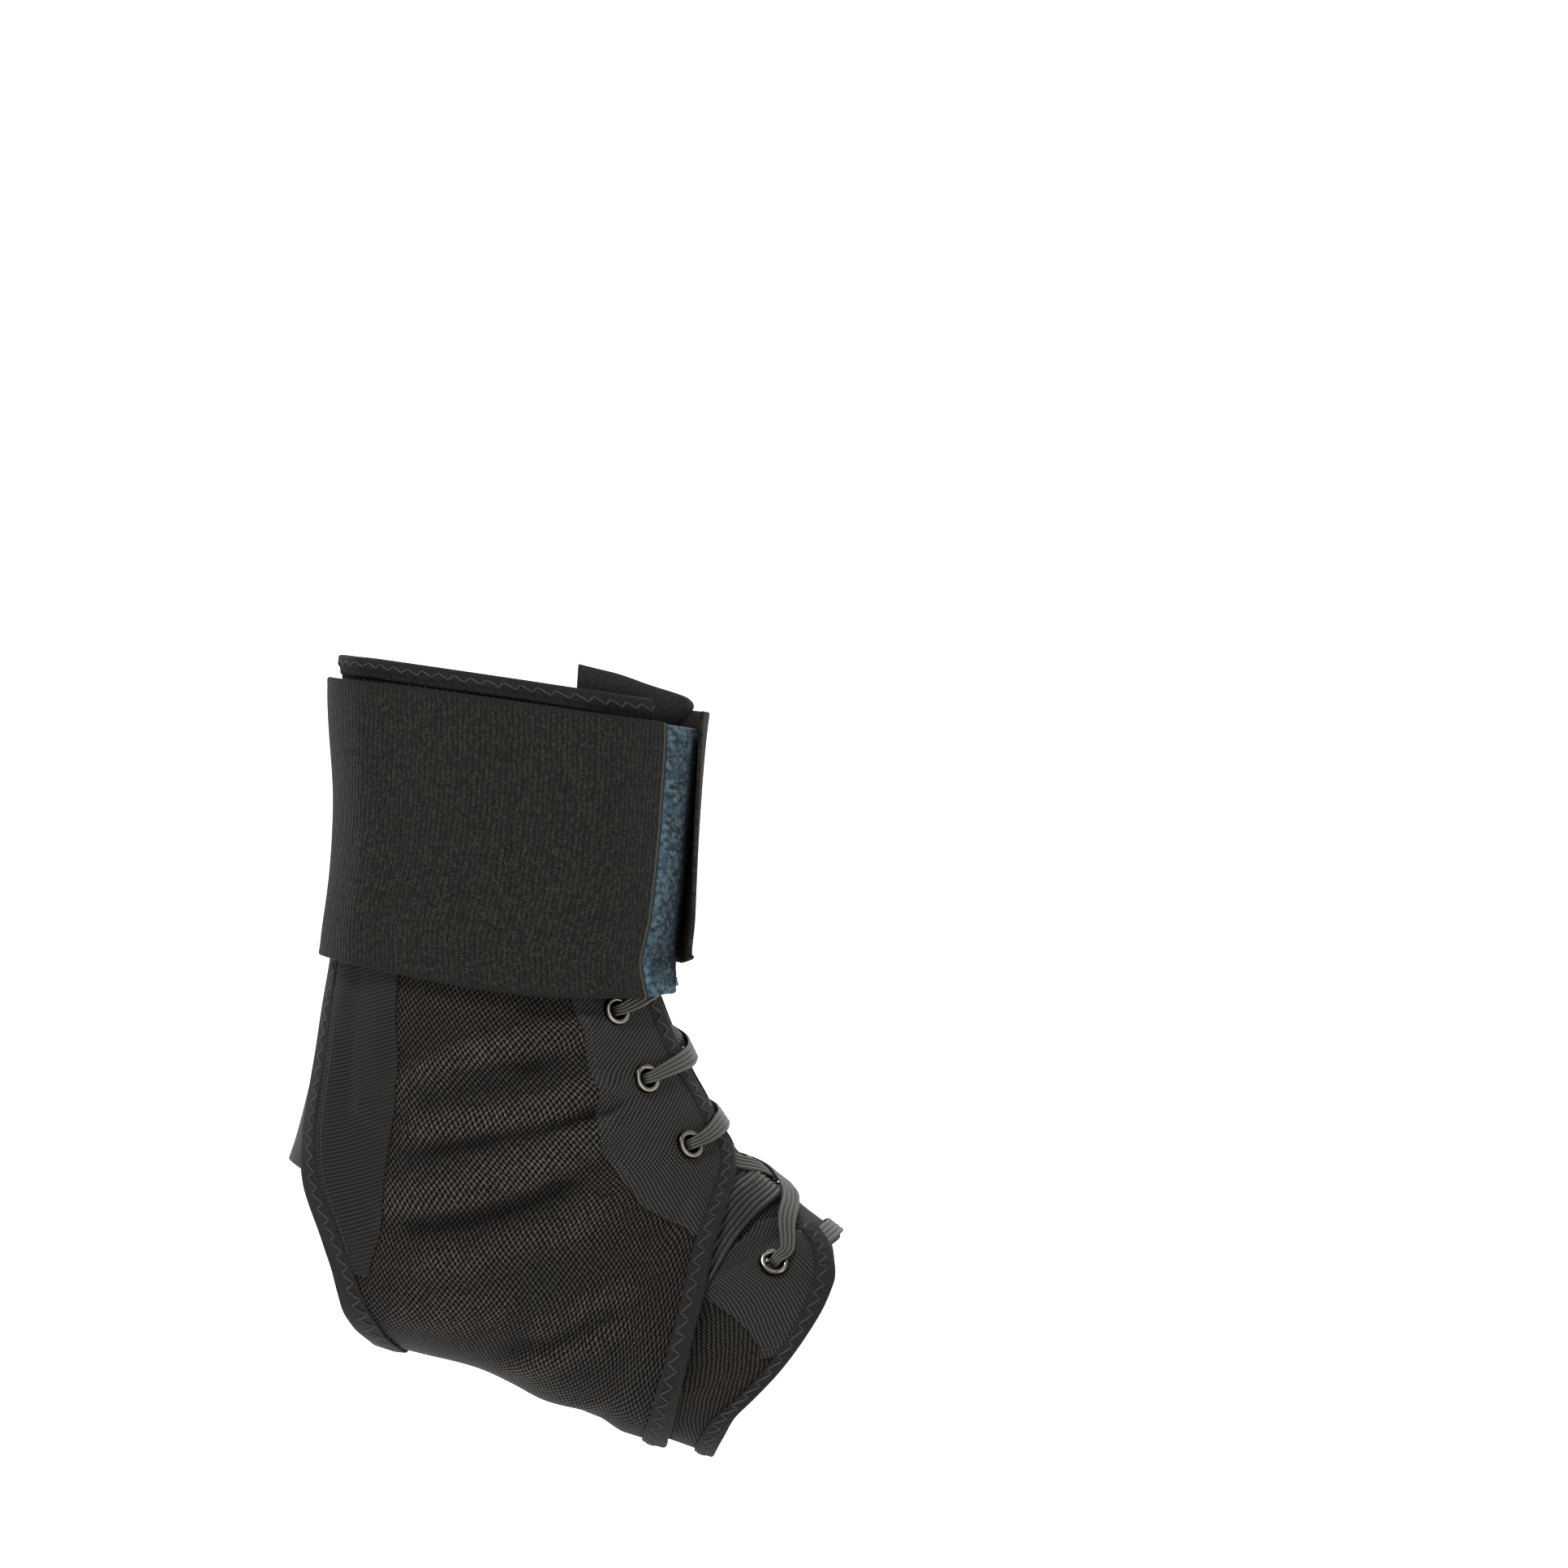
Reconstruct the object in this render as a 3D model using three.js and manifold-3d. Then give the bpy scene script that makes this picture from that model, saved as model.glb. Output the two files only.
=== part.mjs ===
import * as THREE from 'three';
import Module from 'manifold-3d';

const wasm = await Module();
wasm.setup();
const { Manifold, Mesh: SolidMesh } = wasm;

// Driving sizes in mm. X points to the toes, Z up, Y to the far side; the origin lies between the ankle bones.
const DEPTH = 150;
const HEIGHT = 218;
const WIDTH = 78;
const GAP = 0.3;
const SHELL_WALL = 1.2;
const ELASTIC_WALL = 1.1;
const TONGUE_WALL = 1.9;
const PATCH_WALL = 0.5;
const TAPE_WALL = 0.8;
const TAPE_WIDTH = 5.6;
const HEEL_TAPE_WIDTH = 7;
const TOP_TAPE_WIDTH = 6;
const INSTEP_WALL = 1.0;
const INSTEP_WIDTH = 14.5;
const BAND_WALL = 1.6;
const LOOP_WALL = 2.0;
const TAB_WALL = 1.4;
const LACE_WIDTH = 5.4;
const LACE_WALL = 0.8;
const HOLE_RADIUS = 2.3;
const BARREL_RADIUS = 2.8;
const FLANGE_RADIUS = 4.05;
const FLANGE_WALL = 0.45;
const SHELL_HOLE_RADIUS = 3.15;

// Heights over the leg in the lacing zone, each built on the one beneath it.
const LACE_LOW = TONGUE_WALL + GAP + 0.4;
const FLANGE_LOW = LACE_LOW + LACE_WALL + GAP;
const SHELL_RISE = FLANGE_LOW + FLANGE_WALL + GAP + 0.2;
const PATCH_BASE = SHELL_WALL + GAP;
const RIM_OVER = PATCH_BASE + PATCH_WALL + GAP + 0.25;
const RIM_UNDER = FLANGE_WALL + GAP + 0.2;
const FLANGE_HIGH = SHELL_RISE + RIM_OVER;
const FLANGE_TOP = FLANGE_HIGH + FLANGE_WALL;
const LACE_HIGH = FLANGE_TOP + GAP;
// The lowest eyelets sit beside the tongue, so their panel lies lower.
const FORE_RISE = 3.1;
const BAND_RISE = LACE_HIGH + LACE_WALL + GAP + 0.15;

// Cross-sections of the worn form from the leg opening to the forefoot, as seen from the side.
// Columns: front x, front z, back x, back z (shares of DEPTH and HEIGHT), half width (share of WIDTH),
// fullness exponent at the front and at the back.
const SECTIONS = [
  [0.335, 0.583, -0.254, 0.642, 0.468, 1.0, 1.0],
  [0.32, 0.517, -0.253, 0.575, 0.462, 1.0, 1.0],
  [0.307, 0.444, -0.251, 0.503, 0.455, 1.0, 1.05],
  [0.294, 0.358, -0.246, 0.413, 0.449, 1.0, 1.1],
  [0.283, 0.278, -0.251, 0.322, 0.449, 1.0, 1.15],
  [0.273, 0.212, -0.267, 0.232, 0.455, 1.0, 1.2],
  [0.31, 0.151, -0.29, 0.151, 0.468, 1.0, 1.25],
  [0.349, 0.091, -0.314, 0.076, 0.487, 1.0, 1.2],
  [0.382, 0.037, -0.342, 0.0, 0.5, 1.0, 1.1],
  [0.413, 0.001, -0.376, -0.077, 0.5, 1.0, 1.0],
  [0.445, -0.027, -0.38, -0.161, 0.494, 1.0, 0.9],
  [0.478, -0.049, -0.336, -0.218, 0.487, 1.0, 0.82],
  [0.51, -0.069, -0.235, -0.249, 0.481, 1.0, 0.76],
  [0.545, -0.085, -0.125, -0.268, 0.474, 1.0, 0.74],
  [0.572, -0.1, -0.015, -0.288, 0.474, 0.98, 0.72],
  [0.597, -0.113, 0.095, -0.322, 0.481, 0.96, 0.7],
  [0.62, -0.125, 0.205, -0.348, 0.487, 0.95, 0.7],
  [0.648, -0.141, 0.315, -0.372, 0.494, 0.95, 0.7],
  [0.681, -0.161, 0.411, -0.395, 0.5, 0.95, 0.7],
];
const LAST = SECTIONS.length - 1;

// Rows of the mesh panel from the top edge down the near side to the sole: front place, back place.
const ANKLE_ROWS = [
  [0.268, 0.544, -0.249, 0.597],
  [0.279, 0.517, -0.248, 0.577],
  [0.277, 0.461, -0.243, 0.519],
  [0.268, 0.392, -0.236, 0.449],
  [0.256, 0.313, -0.238, 0.368],
  [0.247, 0.242, -0.25, 0.299],
  [0.266, 0.177, -0.263, 0.228],
  [0.3, 0.121, -0.278, 0.167],
  [0.33, 0.076, -0.29, 0.112],
  [0.36, 0.037, -0.302, 0.062],
  [0.384, 0.004, -0.314, 0.011],
  [0.411, -0.025, -0.318, -0.034],
  [0.422, -0.05, -0.308, -0.079],
  [0.417, -0.086, -0.29, -0.123],
  [0.405, -0.126, -0.271, -0.163],
  [0.392, -0.172, -0.258, -0.197],
  [0.377, -0.222, -0.244, -0.222],
  [0.359, -0.278, -0.229, -0.236],
  [0.342, -0.328, -0.213, -0.246],
  [0.333, -0.352, -0.205, -0.251],
  [0.325, -0.367, -0.2, -0.255],
  [0.317, -0.379, -0.195, -0.258],
];

// Rows of the forefoot panel in the same way: front place, back place.
const FORE_ROWS = [
  [0.515, -0.086, 0.49, -0.082],
  [0.54, -0.103, 0.47, -0.109],
  [0.57, -0.124, 0.444, -0.142],
  [0.598, -0.149, 0.406, -0.173],
  [0.61, -0.18, 0.358, -0.202],
  [0.6, -0.212, 0.34, -0.235],
  [0.572, -0.246, 0.322, -0.272],
  [0.528, -0.286, 0.306, -0.306],
  [0.478, -0.322, 0.29, -0.333],
  [0.444, -0.345, 0.28, -0.347],
  [0.422, -0.372, 0.27, -0.355],
  [0.408, -0.394, 0.262, -0.358],
];

// Raised folds of the mesh panel: start x, z, end x, z, height and half width as shares of DEPTH.
const FOLDS = [
  [-0.13, 0.06, -0.02, 0.095, 0.012, 0.03],
  [-0.02, 0.095, 0.17, 0.125, 0.011, 0.03],
  [-0.16, -0.075, -0.02, -0.055, 0.011, 0.032],
  [-0.02, -0.055, 0.17, 0.005, 0.013, 0.034],
  [0.04, -0.01, 0.2, 0.055, 0.011, 0.026],
  [-0.2, 0.02, -0.13, 0.052, 0.008, 0.02],
];

// Eyelet rows from the instep up: the place of each rim seen from the side.
const EYELETS = [
  [0.52, -0.152],
  [0.371, -0.008],
  [0.293, 0.074],
  [0.239, 0.158],
  [0.228, 0.252],
  [0.234, 0.345],
];

// Centre line of the instep elastic from its near end to the middle of the instep.
const INSTEP_ROUTE = [
  [0.4155, -0.182],
  [0.424, -0.166],
  [0.441, -0.137],
  [0.464, -0.106],
  [0.486, -0.079],
];
const ANKLE_STEPS = 42;
const ANKLE_COLUMNS = 12;
const FORE_STEPS = 34;

const clamp = (x, low, high) => Math.min(high, Math.max(low, x));
const rise = (x, from, to) => {
  const t = clamp((x - from) / (to - from), 0, 1);
  return t * t * (3 - 2 * t);
};
const mix = (a, b, t) => a + (b - a) * t;

// Smooth curve through the rows of a table; index may be fractional.
function through(rows, index) {
  const last = rows.length - 1;
  const i = clamp(Math.floor(index), 0, last - 1);
  const t = index - i;
  const p0 = rows[Math.max(i - 1, 0)], p1 = rows[i], p2 = rows[i + 1], p3 = rows[Math.min(i + 2, last)];
  return p1.map((b, k) => {
    const a = p0[k], c = p2[k], d = p3[k];
    return b + 0.5 * t * (c - a + t * (2 * a - 5 * b + 4 * c - d + t * (3 * (b - c) + d - a)));
  });
}

// Point of the worn form: station s, turn angle th (0 front, +pi back, near side positive).
function form(s, th) {
  const [fx, fz, bx, bz, half, frontPower, backPower] = through(SECTIONS, clamp(s, -0.4, LAST + 0.4));
  const u = (1 - Math.cos(th)) / 2;
  const side = Math.sin(th);
  const power = mix(frontPower, backPower, u);
  const y = -Math.sign(side) * half * WIDTH * Math.pow(Math.abs(side), power);
  return new THREE.Vector3(mix(fx, bx, u) * DEPTH, y, mix(fz, bz, u) * HEIGHT);
}

function normal(s, th) {
  const around = form(s, th + 0.03).sub(form(s, th - 0.03));
  const along = form(s + 0.15, th).sub(form(s - 0.15, th));
  return around.cross(along).normalize();
}

// Point at height d over the form.
const over = (s, th, d) => form(s, th).addScaledVector(normal(s, th), d);

// Station and angle of a place given in the side view, as shares of DEPTH and HEIGHT.
function locate(x, z) {
  const offside = (s) => {
    const [fx, fz, bx, bz] = through(SECTIONS, s);
    return (bx - fx) * DEPTH * (z - fz) * HEIGHT - (bz - fz) * HEIGHT * (x - fx) * DEPTH;
  };
  let low = 0, high = LAST;
  const sign = Math.sign(offside(low));
  for (let k = 0; k < 40; k += 1) {
    const mid = (low + high) / 2;
    if (Math.sign(offside(mid)) === sign) low = mid; else high = mid;
  }
  const s = (low + high) / 2;
  const [fx, fz, bx, bz] = through(SECTIONS, s);
  const dx = (bx - fx) * DEPTH, dz = (bz - fz) * HEIGHT;
  const u = ((x - fx) * DEPTH * dx + (z - fz) * HEIGHT * dz) / (dx * dx + dz * dz);
  return [s, Math.acos(clamp(1 - 2 * u, -1, 1))];
}

// The same for a place seen at height d over the form.
function seen(x, z, d) {
  let [s, th] = locate(x, z);
  for (let k = 0; k < 6; k += 1) {
    const n = normal(s, th);
    [s, th] = locate(x - n.x * d / DEPTH, z - n.z * d / HEIGHT);
  }
  return [s, th];
}
const eyeletRise = EYELETS.map((_, i) => (i === 0 ? FORE_RISE : SHELL_RISE));
const eyeletSpots = EYELETS.map(([x, z], i) => seen(x, z, eyeletRise[i] + RIM_OVER + FLANGE_WALL));

// Half angle that the tongue covers.
const tongueHalf = (s) => mix(1.12, 0.82, clamp(s / 16, 0, 1));

function folds(s, th) {
  const p = form(s, th);
  const x = p.x / DEPTH, z = p.z / DEPTH;
  let sum = 0;
  for (const [ax, azShare, bx, bzShare, high, half] of FOLDS) {
    const az = azShare * HEIGHT / DEPTH, bz = bzShare * HEIGHT / DEPTH;
    const dx = bx - ax, dz = bz - az;
    const t = clamp(((x - ax) * dx + (z - az) * dz) / (dx * dx + dz * dz), 0, 1);
    const far = Math.hypot(x - ax - dx * t, z - az - dz * t) / half;
    sum = Math.max(sum, high * DEPTH * Math.exp(-far * far));
  }
  return sum;
}

// A panel that runs from the near side under the foot to the far side.
// v runs 0 to 1 along it, w runs 0 to 1 from its front edge to its back edge.
function panel(table) {
  const rows = table.map(([fx, fz, bx, bz]) => [...locate(fx, fz), ...locate(bx, bz)]);
  const last = rows.length - 1;
  rows[last][1] = Math.PI;
  rows[last][3] = Math.PI;
  for (let k = last - 1; k >= 0; k -= 1) {
    const [sf, tf, sb, tb] = rows[k];
    rows.push([sf, 2 * Math.PI - tf, sb, 2 * Math.PI - tb]);
  }
  const place = (v, w) => {
    const [sf, tf, sb, tb] = through(rows, v * (rows.length - 1));
    return [mix(sf, sb, w), mix(tf, tb, w)];
  };
  const steps = 120, lengths = [];
  for (let i = 0; i <= steps; i += 1) {
    let sum = 0;
    for (let j = 0; j < 12; j += 1) {
      sum += form(...place(i / steps, j / 12)).distanceTo(form(...place(i / steps, (j + 1) / 12)));
    }
    lengths.push(sum);
  }
  const across = (v) => {
    const i = clamp(Math.floor(v * steps), 0, steps - 1);
    return mix(lengths[i], lengths[i + 1], clamp(v * steps - i, 0, 1));
  };
  return { place, across, rows };
}

const ankle = panel(ANKLE_ROWS);
const fore = panel(FORE_ROWS);
const nearTurn = (th) => (th > Math.PI ? 2 * Math.PI - th : th);

// Height of the inner face of each panel over the form.
function ankleBase(v, w) {
  const inside = clamp(w, 0, 1);
  const [s, th] = ankle.place(v, inside);
  const turn = nearTurn(th), wide = ankle.across(v);
  const fromFront = inside * wide, fromBack = (1 - inside) * wide;
  const half = tongueHalf(s);
  const lacing = SHELL_RISE * (1 - rise(turn, half - 0.05, half + 0.36)) * (1 - rise(s, 11.4, 12.6));
  const stack = SHELL_WALL + INSTEP_WALL + 2 * GAP + 0.65;
  const low = mix(stack, SHELL_WALL + GAP + 0.5, rise(turn, 1.6, 2.8)) + foreHeight(s, turn) * rise(turn, 0.55, 0.85);
  const overlap = low * rise(s, 9.6, 10.8) * (1 - rise(fromFront, 11, 20));
  const heel = (ELASTIC_WALL + GAP + 0.15) * (1 - rise(fromBack, 11, 19)) * (1 - rise(s, 8.9, 9.9));
  const middle = rise(fromFront, 8, 22) * rise(fromBack, 7, 18);
  return Math.max(lacing, overlap, heel) + folds(s, turn) * middle;
}

function foreHeight(s, turn) {
  const half = tongueHalf(s), eyeletTurn = eyeletSpots[0][1];
  const onTongue = (TONGUE_WALL + GAP) * (1 - rise(turn, half - 0.05, half + 0.4));
  const atEyelet = FORE_RISE * rise(s, 14.2, 15) * (1 - rise(turn, eyeletTurn + 0.2, eyeletTurn + 0.65));
  const overLace = 4.05 * rise(s, 14.4, 15.2) * (1 - rise(turn, half + 0.02, half + 0.27));
  return Math.max(onTongue, atEyelet, overLace);
}

function foreBase(v, w) {
  const [s, th] = fore.place(v, clamp(w, 0, 1));
  return foreHeight(s, nearTurn(th));
}

function geometryOf(points, faces) {
  let volume = 0;
  for (const [a, b, c] of faces) volume += points[a].dot(points[b].clone().cross(points[c]));
  const ordered = volume < 0 ? faces.map(([a, b, c]) => [a, c, b]) : faces;
  const geometry = new THREE.BufferGeometry();
  geometry.setAttribute('position', new THREE.Float32BufferAttribute(points.flatMap((p) => [p.x, p.y, p.z]), 3));
  geometry.setIndex(ordered.flat());
  return geometry;
}

// Closed sheet between an inner and an outer grid of points.
function sheet(rows, cols, inner, outer) {
  const points = [], faces = [], at = (layer, i, j) => (layer * (rows + 1) + i) * (cols + 1) + j;
  for (const layer of [inner, outer]) {
    for (let i = 0; i <= rows; i += 1) for (let j = 0; j <= cols; j += 1) points.push(layer(i / rows, j / cols));
  }
  const quad = (a, b, c, d) => faces.push([a, b, c], [a, c, d]);
  for (let i = 0; i < rows; i += 1) {
    for (let j = 0; j < cols; j += 1) {
      if (2 * i < rows) {
        quad(at(1, i, j), at(1, i + 1, j), at(1, i + 1, j + 1), at(1, i, j + 1));
        quad(at(0, i, j), at(0, i, j + 1), at(0, i + 1, j + 1), at(0, i + 1, j));
      } else {
        quad(at(1, i + 1, j), at(1, i + 1, j + 1), at(1, i, j + 1), at(1, i, j));
        quad(at(0, i + 1, j), at(0, i, j), at(0, i, j + 1), at(0, i + 1, j + 1));
      }
    }
  }
  for (let i = 0; i < rows; i += 1) {
    quad(at(0, i, 0), at(0, i + 1, 0), at(1, i + 1, 0), at(1, i, 0));
    quad(at(1, i, cols), at(1, i + 1, cols), at(0, i + 1, cols), at(0, i, cols));
  }
  for (let j = 0; j < cols; j += 1) {
    quad(at(1, 0, j), at(1, 0, j + 1), at(0, 0, j + 1), at(0, 0, j));
    quad(at(0, rows, j), at(0, rows, j + 1), at(1, rows, j + 1), at(1, rows, j));
  }
  return geometryOf(points, faces);
}

// Closed bar: a ring of section points at each of the stations, with flat ends or joined end to end.
function sweep(sections, closed) {
  const count = sections.length, size = sections[0].length, points = sections.flat(), faces = [];
  const spans = closed ? count : count - 1;
  for (let i = 0; i < spans; i += 1) {
    const a = i * size, b = ((i + 1) % count) * size;
    for (let k = 0; k < size; k += 1) {
      const next = (k + 1) % size;
      if (2 * i < spans) faces.push([a + k, b + k, b + next], [a + k, b + next, a + next]);
      else faces.push([a + k, b + k, a + next], [b + k, b + next, a + next]);
    }
  }
  if (!closed) {
    const shape = endFaces(size);
    for (const [a, b, c] of shape) faces.push([a, b, c]);
    const start = (count - 1) * size;
    for (const [a, b, c] of shape) faces.push([start + a, start + c, start + b]);
  }
  return geometryOf(points, faces);
}

// Triangles of a flat end: a six-point angle section or a plain four-point one.
function endFaces(size) {
  return size === 6 ? [[0, 1, 4], [0, 4, 5], [1, 2, 3], [1, 3, 4]] : [[0, 1, 2], [0, 2, 3]];
}

// Even steps with closer ones near the front edge.
const frontClose = (w) => w * (0.72 + 0.28 * w);

function panelSheet(source, base, rows, cols, wall) {
  return sheet(rows, cols,
    (v, w) => over(...source.place(v, frontClose(w)), base(v, frontClose(w))),
    (v, w) => over(...source.place(v, frontClose(w)), base(v, frontClose(w)) + wall));
}

// Folded tape on an edge of a panel: one leg on the outer face, one over the cut edge.
function edgeTape(source, base, from, to, steps, wide, atBack) {
  const sections = [];
  const outer = SHELL_WALL + GAP + TAPE_WALL + 0.1, skip = GAP + TAPE_WALL;
  const shape = [[-skip, 0.1], [-skip, outer], [wide, outer], [wide, outer - TAPE_WALL],
    [-GAP, outer - TAPE_WALL], [-GAP, 0.1]];
  for (let i = from; i <= to; i += 1) {
    const v = i / steps, span = source.across(v);
    sections.push(shape.map(([q, h]) => {
      const w = atBack ? 1 - q / span : q / span;
      return over(...source.place(v, w), base(v, w) + h);
    }));
  }
  return sweep(sections, false);
}

function topTape(far) {
  const outer = SHELL_WALL + GAP + TAPE_WALL + 0.25, skip = GAP + TAPE_WALL;
  const shape = [[-skip, 0.1], [-skip, outer], [TOP_TAPE_WIDTH, outer], [TOP_TAPE_WIDTH, outer - TAPE_WALL],
    [-GAP, outer - TAPE_WALL], [-GAP, 0.1]];
  const sections = [];
  for (let i = 0; i <= ANKLE_COLUMNS; i += 1) {
    const w = frontClose(i / ANKLE_COLUMNS);
    const run = form(...ankle.place(0, w)).distanceTo(form(...ankle.place(0.05, w))) / 0.05;
    sections.push(shape.map(([q, h]) => {
      const v = q / run;
      const [s, th] = ankle.place(v, w);
      return over(s, far ? -th : th, ankleBase(Math.max(v, 0), w) + h);
    }));
  }
  return sweep(sections, false);
}

// A flat piece sewn on a panel: rows v from-to, between two distances from the front or the back edge.
function sewnPiece(source, base, from, to, near, wide, fromBack, far, rows, cols, spare) {
  const point = (t, r, h) => {
    const v = mix(from, to, t), q = mix(near(t), wide(t), r);
    const w = fromBack ? 1 - q / source.across(v) : q / source.across(v);
    const [s, th] = source.place(v, w);
    return over(s, far ? -th : th, base(v, w) + PATCH_BASE + spare + h);
  };
  return sheet(rows, cols, (t, r) => point(t, r, 0), (t, r) => point(t, r, PATCH_WALL));
}

// Round places of the eyelets with their own axes.
function eyeletFrame(index, far) {
  const [s, turn] = eyeletSpots[index];
  const th = far ? -turn : turn;
  const n = normal(s, th);
  const along = form(s + 0.2, th).sub(form(s - 0.2, th)).normalize();
  const around = n.clone().cross(along).normalize();
  return { s, th, n, along: around.clone().cross(n), around, at: form(s, th), rise: eyeletRise[index] };
}

function roundPoint(frame, radius, height, turn) {
  return frame.at.clone().addScaledVector(frame.n, height)
    .addScaledVector(frame.along, radius * Math.cos(turn))
    .addScaledVector(frame.around, radius * Math.sin(turn));
}

const EYELET_SIDES = 10;
function eyelet(frame) {
  const low = frame.rise - RIM_UNDER, high = frame.rise + RIM_OVER;
  const profile = [[HOLE_RADIUS, low], [FLANGE_RADIUS, low], [FLANGE_RADIUS, low + FLANGE_WALL],
    [BARREL_RADIUS, low + FLANGE_WALL], [BARREL_RADIUS, high], [FLANGE_RADIUS, high],
    [FLANGE_RADIUS - 0.55, high + FLANGE_WALL], [HOLE_RADIUS, high + FLANGE_WALL]];
  const sections = [];
  for (let i = 0; i < EYELET_SIDES; i += 1) {
    sections.push(profile.map(([r, h]) => roundPoint(frame, r, h, (i / EYELET_SIDES) * 2 * Math.PI)));
  }
  return sweep(sections, true);
}

const PIN = 8;
function holePin(frame) {
  const sections = [frame.rise - 2, frame.rise + 5].map((h) => {
    const ring = [];
    for (let i = 0; i < PIN; i += 1) ring.push(roundPoint(frame, SHELL_HOLE_RADIUS, h, (i / PIN) * 2 * Math.PI));
    return ring;
  });
  const faces = [], points = sections.flat();
  for (let i = 0; i < PIN; i += 1) {
    const next = (i + 1) % PIN;
    faces.push([i, next, PIN + next], [i, PIN + next, PIN + i]);
    if (i > 0 && i < PIN - 1) faces.push([0, next, i], [PIN, PIN + i, PIN + next]);
  }
  return geometryOf(points, faces);
}

function solidOf(geometry) {
  const position = geometry.getAttribute('position');
  return new Manifold(new SolidMesh({
    numProp: 3,
    vertProperties: new Float32Array(position.array),
    triVerts: new Uint32Array(geometry.getIndex().array),
  }));
}

function geometryFrom(solid) {
  const mesh = solid.getMesh();
  const geometry = new THREE.BufferGeometry();
  const kept = [];
  for (let i = 0; i < mesh.vertProperties.length; i += mesh.numProp) {
    kept.push(mesh.vertProperties[i], mesh.vertProperties[i + 1], mesh.vertProperties[i + 2]);
  }
  geometry.setAttribute('position', new THREE.Float32BufferAttribute(kept, 3));
  geometry.setIndex(Array.from(mesh.triVerts));
  return geometry;
}

function pierced(geometry, frames) {
  let solid = solidOf(geometry);
  for (const frame of frames) solid = solid.subtract(solidOf(holePin(frame)));
  return geometryFrom(solid);
}

// Tongue: top edge dips to the front, the free top stands off the leg a little.
function tongue() {
  const place = (v, w) => {
    const turn = (w - 0.5) * 2;
    const top = 0.72 - 0.42 * Math.abs(turn);
    const end = 16.35 - 0.35 * turn * turn;
    const s = mix(top, end, v);
    return [s, turn * tongueHalf(s)];
  };
  const lift = (s, th) => 6.2 * (1 - rise(s, 0.5, 1.5)) * (1 - rise(Math.abs(th), 0.25, 0.62));
  const thick = (w) => mix(0.9, TONGUE_WALL, rise(0.5 - Math.abs(w - 0.5), 0, 0.14));
  return sheet(20, 6,
    (v, w) => { const [s, th] = place(v, w); return over(s, th, lift(s, th)); },
    (v, w) => { const [s, th] = place(v, w); return over(s, th, lift(s, th) + thick(w)); });
}

function backElastic() {
  const half = 0.44;
  const spread = (s) => mix(half, 0.34, rise(s, 4.5, 7.5));
  const place = (v, w) => {
    const side = (w - 0.5) * 2;
    const s = mix(0.75, 8.5 - 0.5 * side * side, v);
    return [s, Math.PI + side * spread(s)];
  };
  return sheet(14, 4,
    (v, w) => form(...place(v, w)),
    (v, w) => over(...place(v, w), ELASTIC_WALL));
}

// Ribbed elastic over the instep; its ends lie between the two panels.
function instepElastic() {
  const route = [...INSTEP_ROUTE.map(([x, z]) => locate(x, z)), [11.55, 0.25], [11.5, 0]];
  const full = [...route, ...route.slice(0, -1).reverse().map(([s, th]) => [s, -th])];
  const count = full.length - 1;
  const point = (t, r, h) => {
    const [s, th] = through(full, t * count);
    const [s2, th2] = through(full, clamp(t + 0.01, 0, 1) * count);
    const [s1, th1] = through(full, clamp(t - 0.01, 0, 1) * count);
    const ahead = form(s2, th2).sub(form(s1, th1)).normalize();
    const n = normal(s, th);
    const sideways = n.clone().cross(ahead).normalize();
    const along = form(s + 0.2, th).sub(form(s - 0.2, th));
    const around = form(s, th + 0.05).sub(form(s, th - 0.05));
    const q = (r - 0.5) * INSTEP_WIDTH;
    const target = sideways.multiplyScalar(q);
    const aa = along.dot(along), bb = around.dot(around), ab = along.dot(around);
    const ta = target.dot(along), tb = target.dot(around), det = aa * bb - ab * ab;
    const ds = 0.4 * (ta * bb - tb * ab) / det, dth = 0.1 * (tb * aa - ta * ab) / det;
    const turn = Math.abs(th + dth);
    const onPanel = Math.max(rise(turn, 0.8, 1.0), rise(turn, 0.14, 0.34) * rise(-q, -5.8, -1.4));
    const pad = 0.1 + mix(TONGUE_WALL + GAP, foreHeight(s + ds, turn), rise(turn, 0.14, 0.34));
    return over(s + ds, th + dth, pad + onPanel * (SHELL_WALL + GAP) + h);
  };
  return sheet(28, 4, (t, r) => point(t, r, 0), (t, r) => point(t, r, INSTEP_WALL));
}

// Height that clears everything under the wide band.
function bandBase(th) {
  const turn = Math.abs(th > Math.PI ? th - 2 * Math.PI : th);
  const front = mix(BAND_RISE, 1.85, rise(turn, 0.86, 1.5));
  const heel = 2.4 * rise(turn, 2.2, 2.55);
  return front + heel - 0.5 * rise(turn, 3.0, 3.14);
}

const bandTop = 1.08;
const bandBottom = (th) => 5.72 - 0.62 * (1 - Math.cos(th)) / 2;
const bandStart = (t) => 0.6 - 0.25 * t * (1 - t) + 0.07 * t;

function elasticWrap() {
  const end = 2 * Math.PI - 0.62;
  const place = (v, w) => {
    const th = mix(bandStart(w), end, v);
    const slip = -0.28 * rise(th, 4.4, 5.7);
    return [mix(bandTop + slip, bandBottom(th) + slip, w), th];
  };
  const wave = (w) => -0.4 * Math.sin(Math.PI * w) ** 2;
  const lift = (th) => 2.35 * rise(th, 5.1, 5.6);
  return sheet(30, 4,
    (v, w) => { const [s, th] = place(v, w); return over(s, th, bandBase(th) + lift(th) + 0.7 + wave(w) * rise(th, 2, 3)); },
    (v, w) => { const [s, th] = place(v, w);
      return over(s, th, bandBase(th) + lift(th) + 0.7 + wave(w) * rise(th, 2, 3) + BAND_WALL); });
}

// Blue loop pile at the near end, carried on round the front under the tab.
const loopEnd = -0.55;
const patchRise = (th) => mix(BAND_RISE - 1.6, BAND_RISE, rise(Math.abs(th), 0.0, 0.42));

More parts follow.
